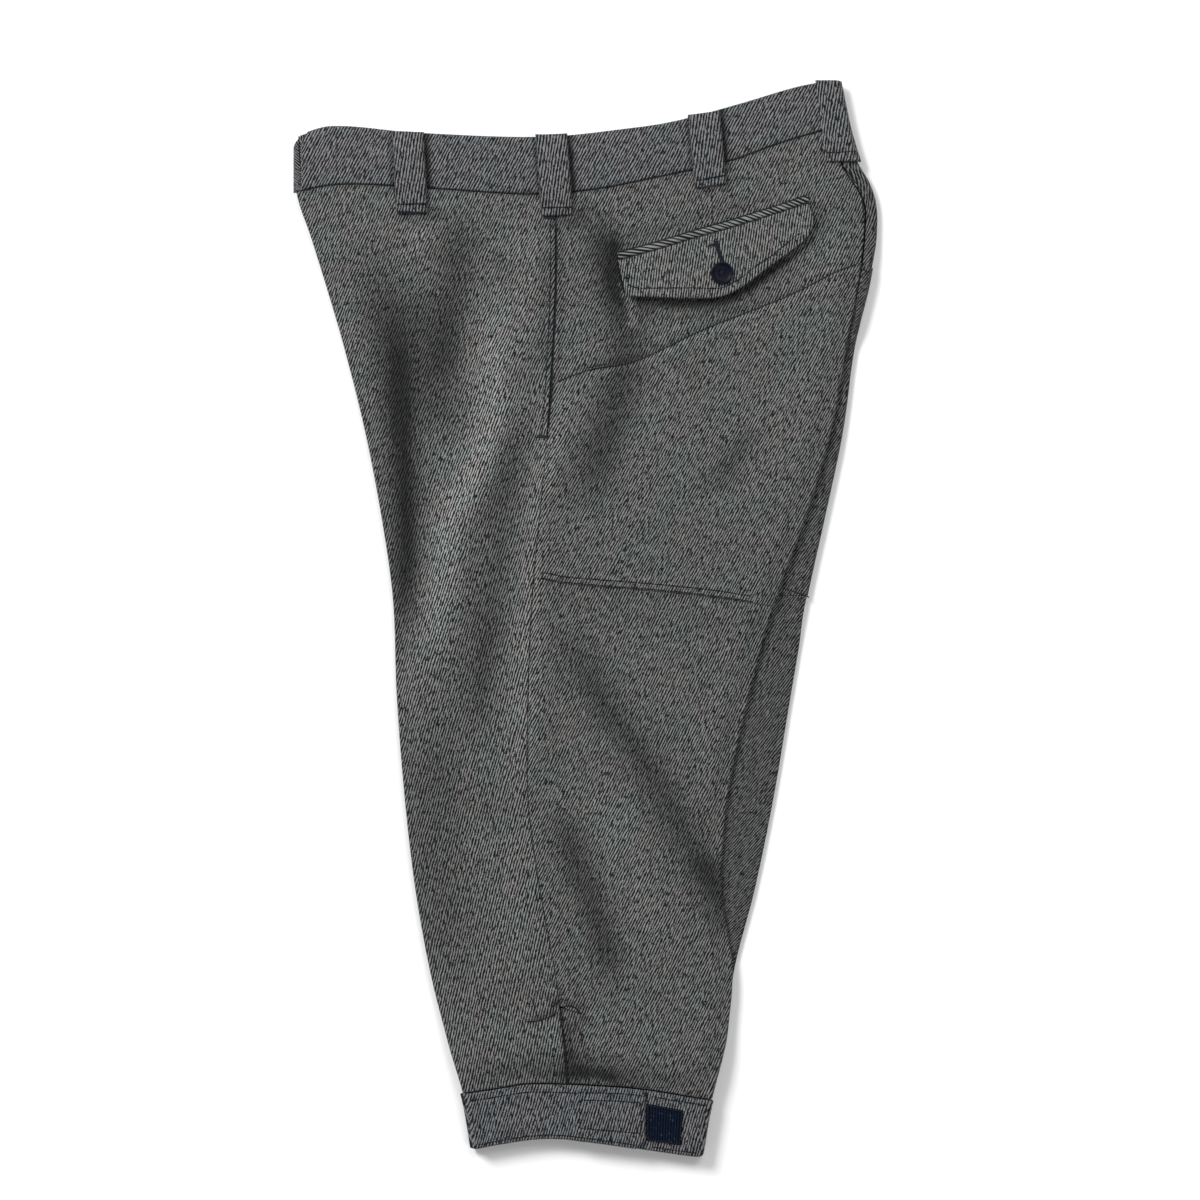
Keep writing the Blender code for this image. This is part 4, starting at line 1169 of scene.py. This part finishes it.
flap_edge = [(32, 266), (32.2, 257), (33, 250), (40, 247.3), (57, 247), (81, 247), (102, 247),
             (113, 252), (119, 256), (128, 263), (140, 271), (151, 280), (161, 288)]
hip_sewing = [
    stitched(flap_edge, on_flap, 2.5),
    stitched(along(flap_top_y, 26, 168, -0.3), on_flap, 2.8, 1.0, 0.62),
    stitched(along(flap_top_y, 24, 167, WELT_WIDTH + 0.8), on_leg, 2.6, 1.0, 0.7),
    stitched([(24.6, 272), (25.8, 262), (28.0, 251), (30.6, 243)], on_leg, 1.4, 1.0, 0.75),
]
keyhole = [(97.2, 283.4), (98.6, 283.9), (99.2, 282.6), (98.6, 280.6), (100.2, 275.5), (103.2, 267.0)]
for shift in (-1.1, -0.4, 0.4, 1.1):
    moved = [(x + shift, y) for x, y in keyhole[2:]]
    hip_sewing.append(stitched(moved, on_flap, 1.2, 1.15, 0.55))
hip_sewing.append(stitched(keyhole[:4] + [(97.0, 281.2), (97.2, 283.4)], on_flap, 1.1, 1.15, 0.42))
joined("hip_pocket_stitches", hip_sewing, thread)

cross = [stitched([(BUTTON_X - c * 1.7, BUTTON_Y - 1.7), (BUTTON_X + c * 1.7, BUTTON_Y + 1.7)],
                  lambda x, y: np.full(np.shape(x), button_z + 2.05), 10, 1.0, 0.42)
         for c in (-1, 1)]
joined("button_thread", cross, thread)

loop_sewing = []
FOOT_ROW, SECOND_ROW = (6.0, 0.55), (-0.4, 0.7)        # distance up from the foot, thread radius
for loop, tilt, rows in zip(BELT_LOOPS, (0.3, 0.3, 2.0),
                            ((FOOT_ROW, SECOND_ROW), (FOOT_ROW,), (FOOT_ROW,))):
    for up, radius in rows:
        ends = [(loop.low_x - 11.2, loop.low_y + up - tilt),
                (loop.low_x + 11.2, loop.low_y + up + tilt)]
        loop_sewing.append(stitched(ends, on_loops, 2.4, 0.9, radius))
loop_sewing.append(stitched([(181, 348.5), (193, 349), (204, 350)], on_loops, 2.4, 0.9))
joined("belt_loop_stitches", loop_sewing, thread)

band_end = [(-214.8, 362), (-214.6, 350), (-213.4, 335), (-213.6, 324)]
joined("waistband_stitches", [stitched(band_end, on_band, 3.0, 1.0, 0.45)], thread)

seat_sewing = [
    stitched([(192, 342), (201, 330), (207, 321), (209, 309), (210, 297), (210, 283), (209, 275),
              (208, 267), (206, 255), (204, 243), (203, 230), (196, 204)], on_leg, 3.0, 1.0, 0.4),
    stitched([(84.5, 320), (88.5, 308), (88.5, 299)], on_leg, 3.0, 1.0, 0.22),
]
joined("seat_seam_stitches", seat_sewing, thread)

cuff_sewing = [
    stitched(along(cuff_seam, -86, -5, -6.0), on_cuff, 2.5),
    stitched(along(cuff_seam, 52, 92, -4.5), on_cuff, 2.5),
    stitched(along(hem, -80, 38, 3.2), on_cuff, 2.5),
    stitched(along(hem, 50, 84, 3.2), on_cuff, 2.5),
    stitched([(-5, -355.5), (20, -355.8), (42.5, -357.5)], on_cuff, 2.5),
    stitched([(-3.5, -361), (20, -361.5), (42, -363)], on_cuff, 2.5),
    stitched([(42, -363), (42.2, -375), (42, -386)], on_cuff, 2.5),
    stitched([(42, -386), (20, -384), (-3.5, -382)], on_cuff, 2.5),
    stitched([(-3.5, -382), (-3.6, -371), (-3.5, -361)], on_cuff, 2.5),
    stitched([(20, -385), (20.4, -392)], on_cuff, 2.3),
    stitched(along(cuff_seam, -86, 92, -6.0), under_cuff, 2.5, side=-1),
    stitched(along(hem, -80, 84, 3.2), under_cuff, 2.5, side=-1),
]
joined("cuff_stitches", cuff_sewing, thread)

# The row in the vent's nick is painted shadow of that crease; the rows along the pleat, down the vent's
# edge and over its arch are stitching that also paints the shadow in the pleat and beside the edge.
vent_sewing = [
    stitched([(-43.5, -302.8), (-36, -302.4), (-27, -299.5), (-19.5, -295.6)], on_leg, 2.0, 0.9, 0.5),
    stitched([(-25, -292), (-21, -289), (-17, -285)], on_leg, 2.0, 0.9, 0.4),
    stitched([(-18.2, -296), (-17.6, -304), (-15.4, -314), (-14.4, -323), (-13.4, -337),
              (-12.6, -348)], on_leg, 1.8, 1.0, 0.8),
    stitched([(-18.6, -295.5), (-16, -292), (-12, -291), (-7, -292.5), (-3, -296.5)],
             on_leg, 1.8, 1.0, 0.55),
    stitched([(-24, -322), (-23, -333), (-22, -344)], on_leg, 2.4),
    stitched([(-2, -311), (-2.2, -322)], on_leg, 2.4),
]
joined("vent_stitches", vent_sewing, thread)

inner = [tuple(corners.mean(0) + (corner - corners.mean(0)) * 0.93) for corner in corners]
for leg, side in (("left", 1), ("right", -1)):
    level = tape_face[leg] + 0.5 * side
    edge = [stitched([a, ((a[0] + b[0]) / 2, (a[1] + b[1]) / 2), b],
                     lambda x, y, z=level: np.full(np.shape(x), z), 2.4, side=side)
            for a, b in zip(inner, inner[1:] + inner[:1])]
    joined(f"{leg}_fastener_stitches", edge, thread)
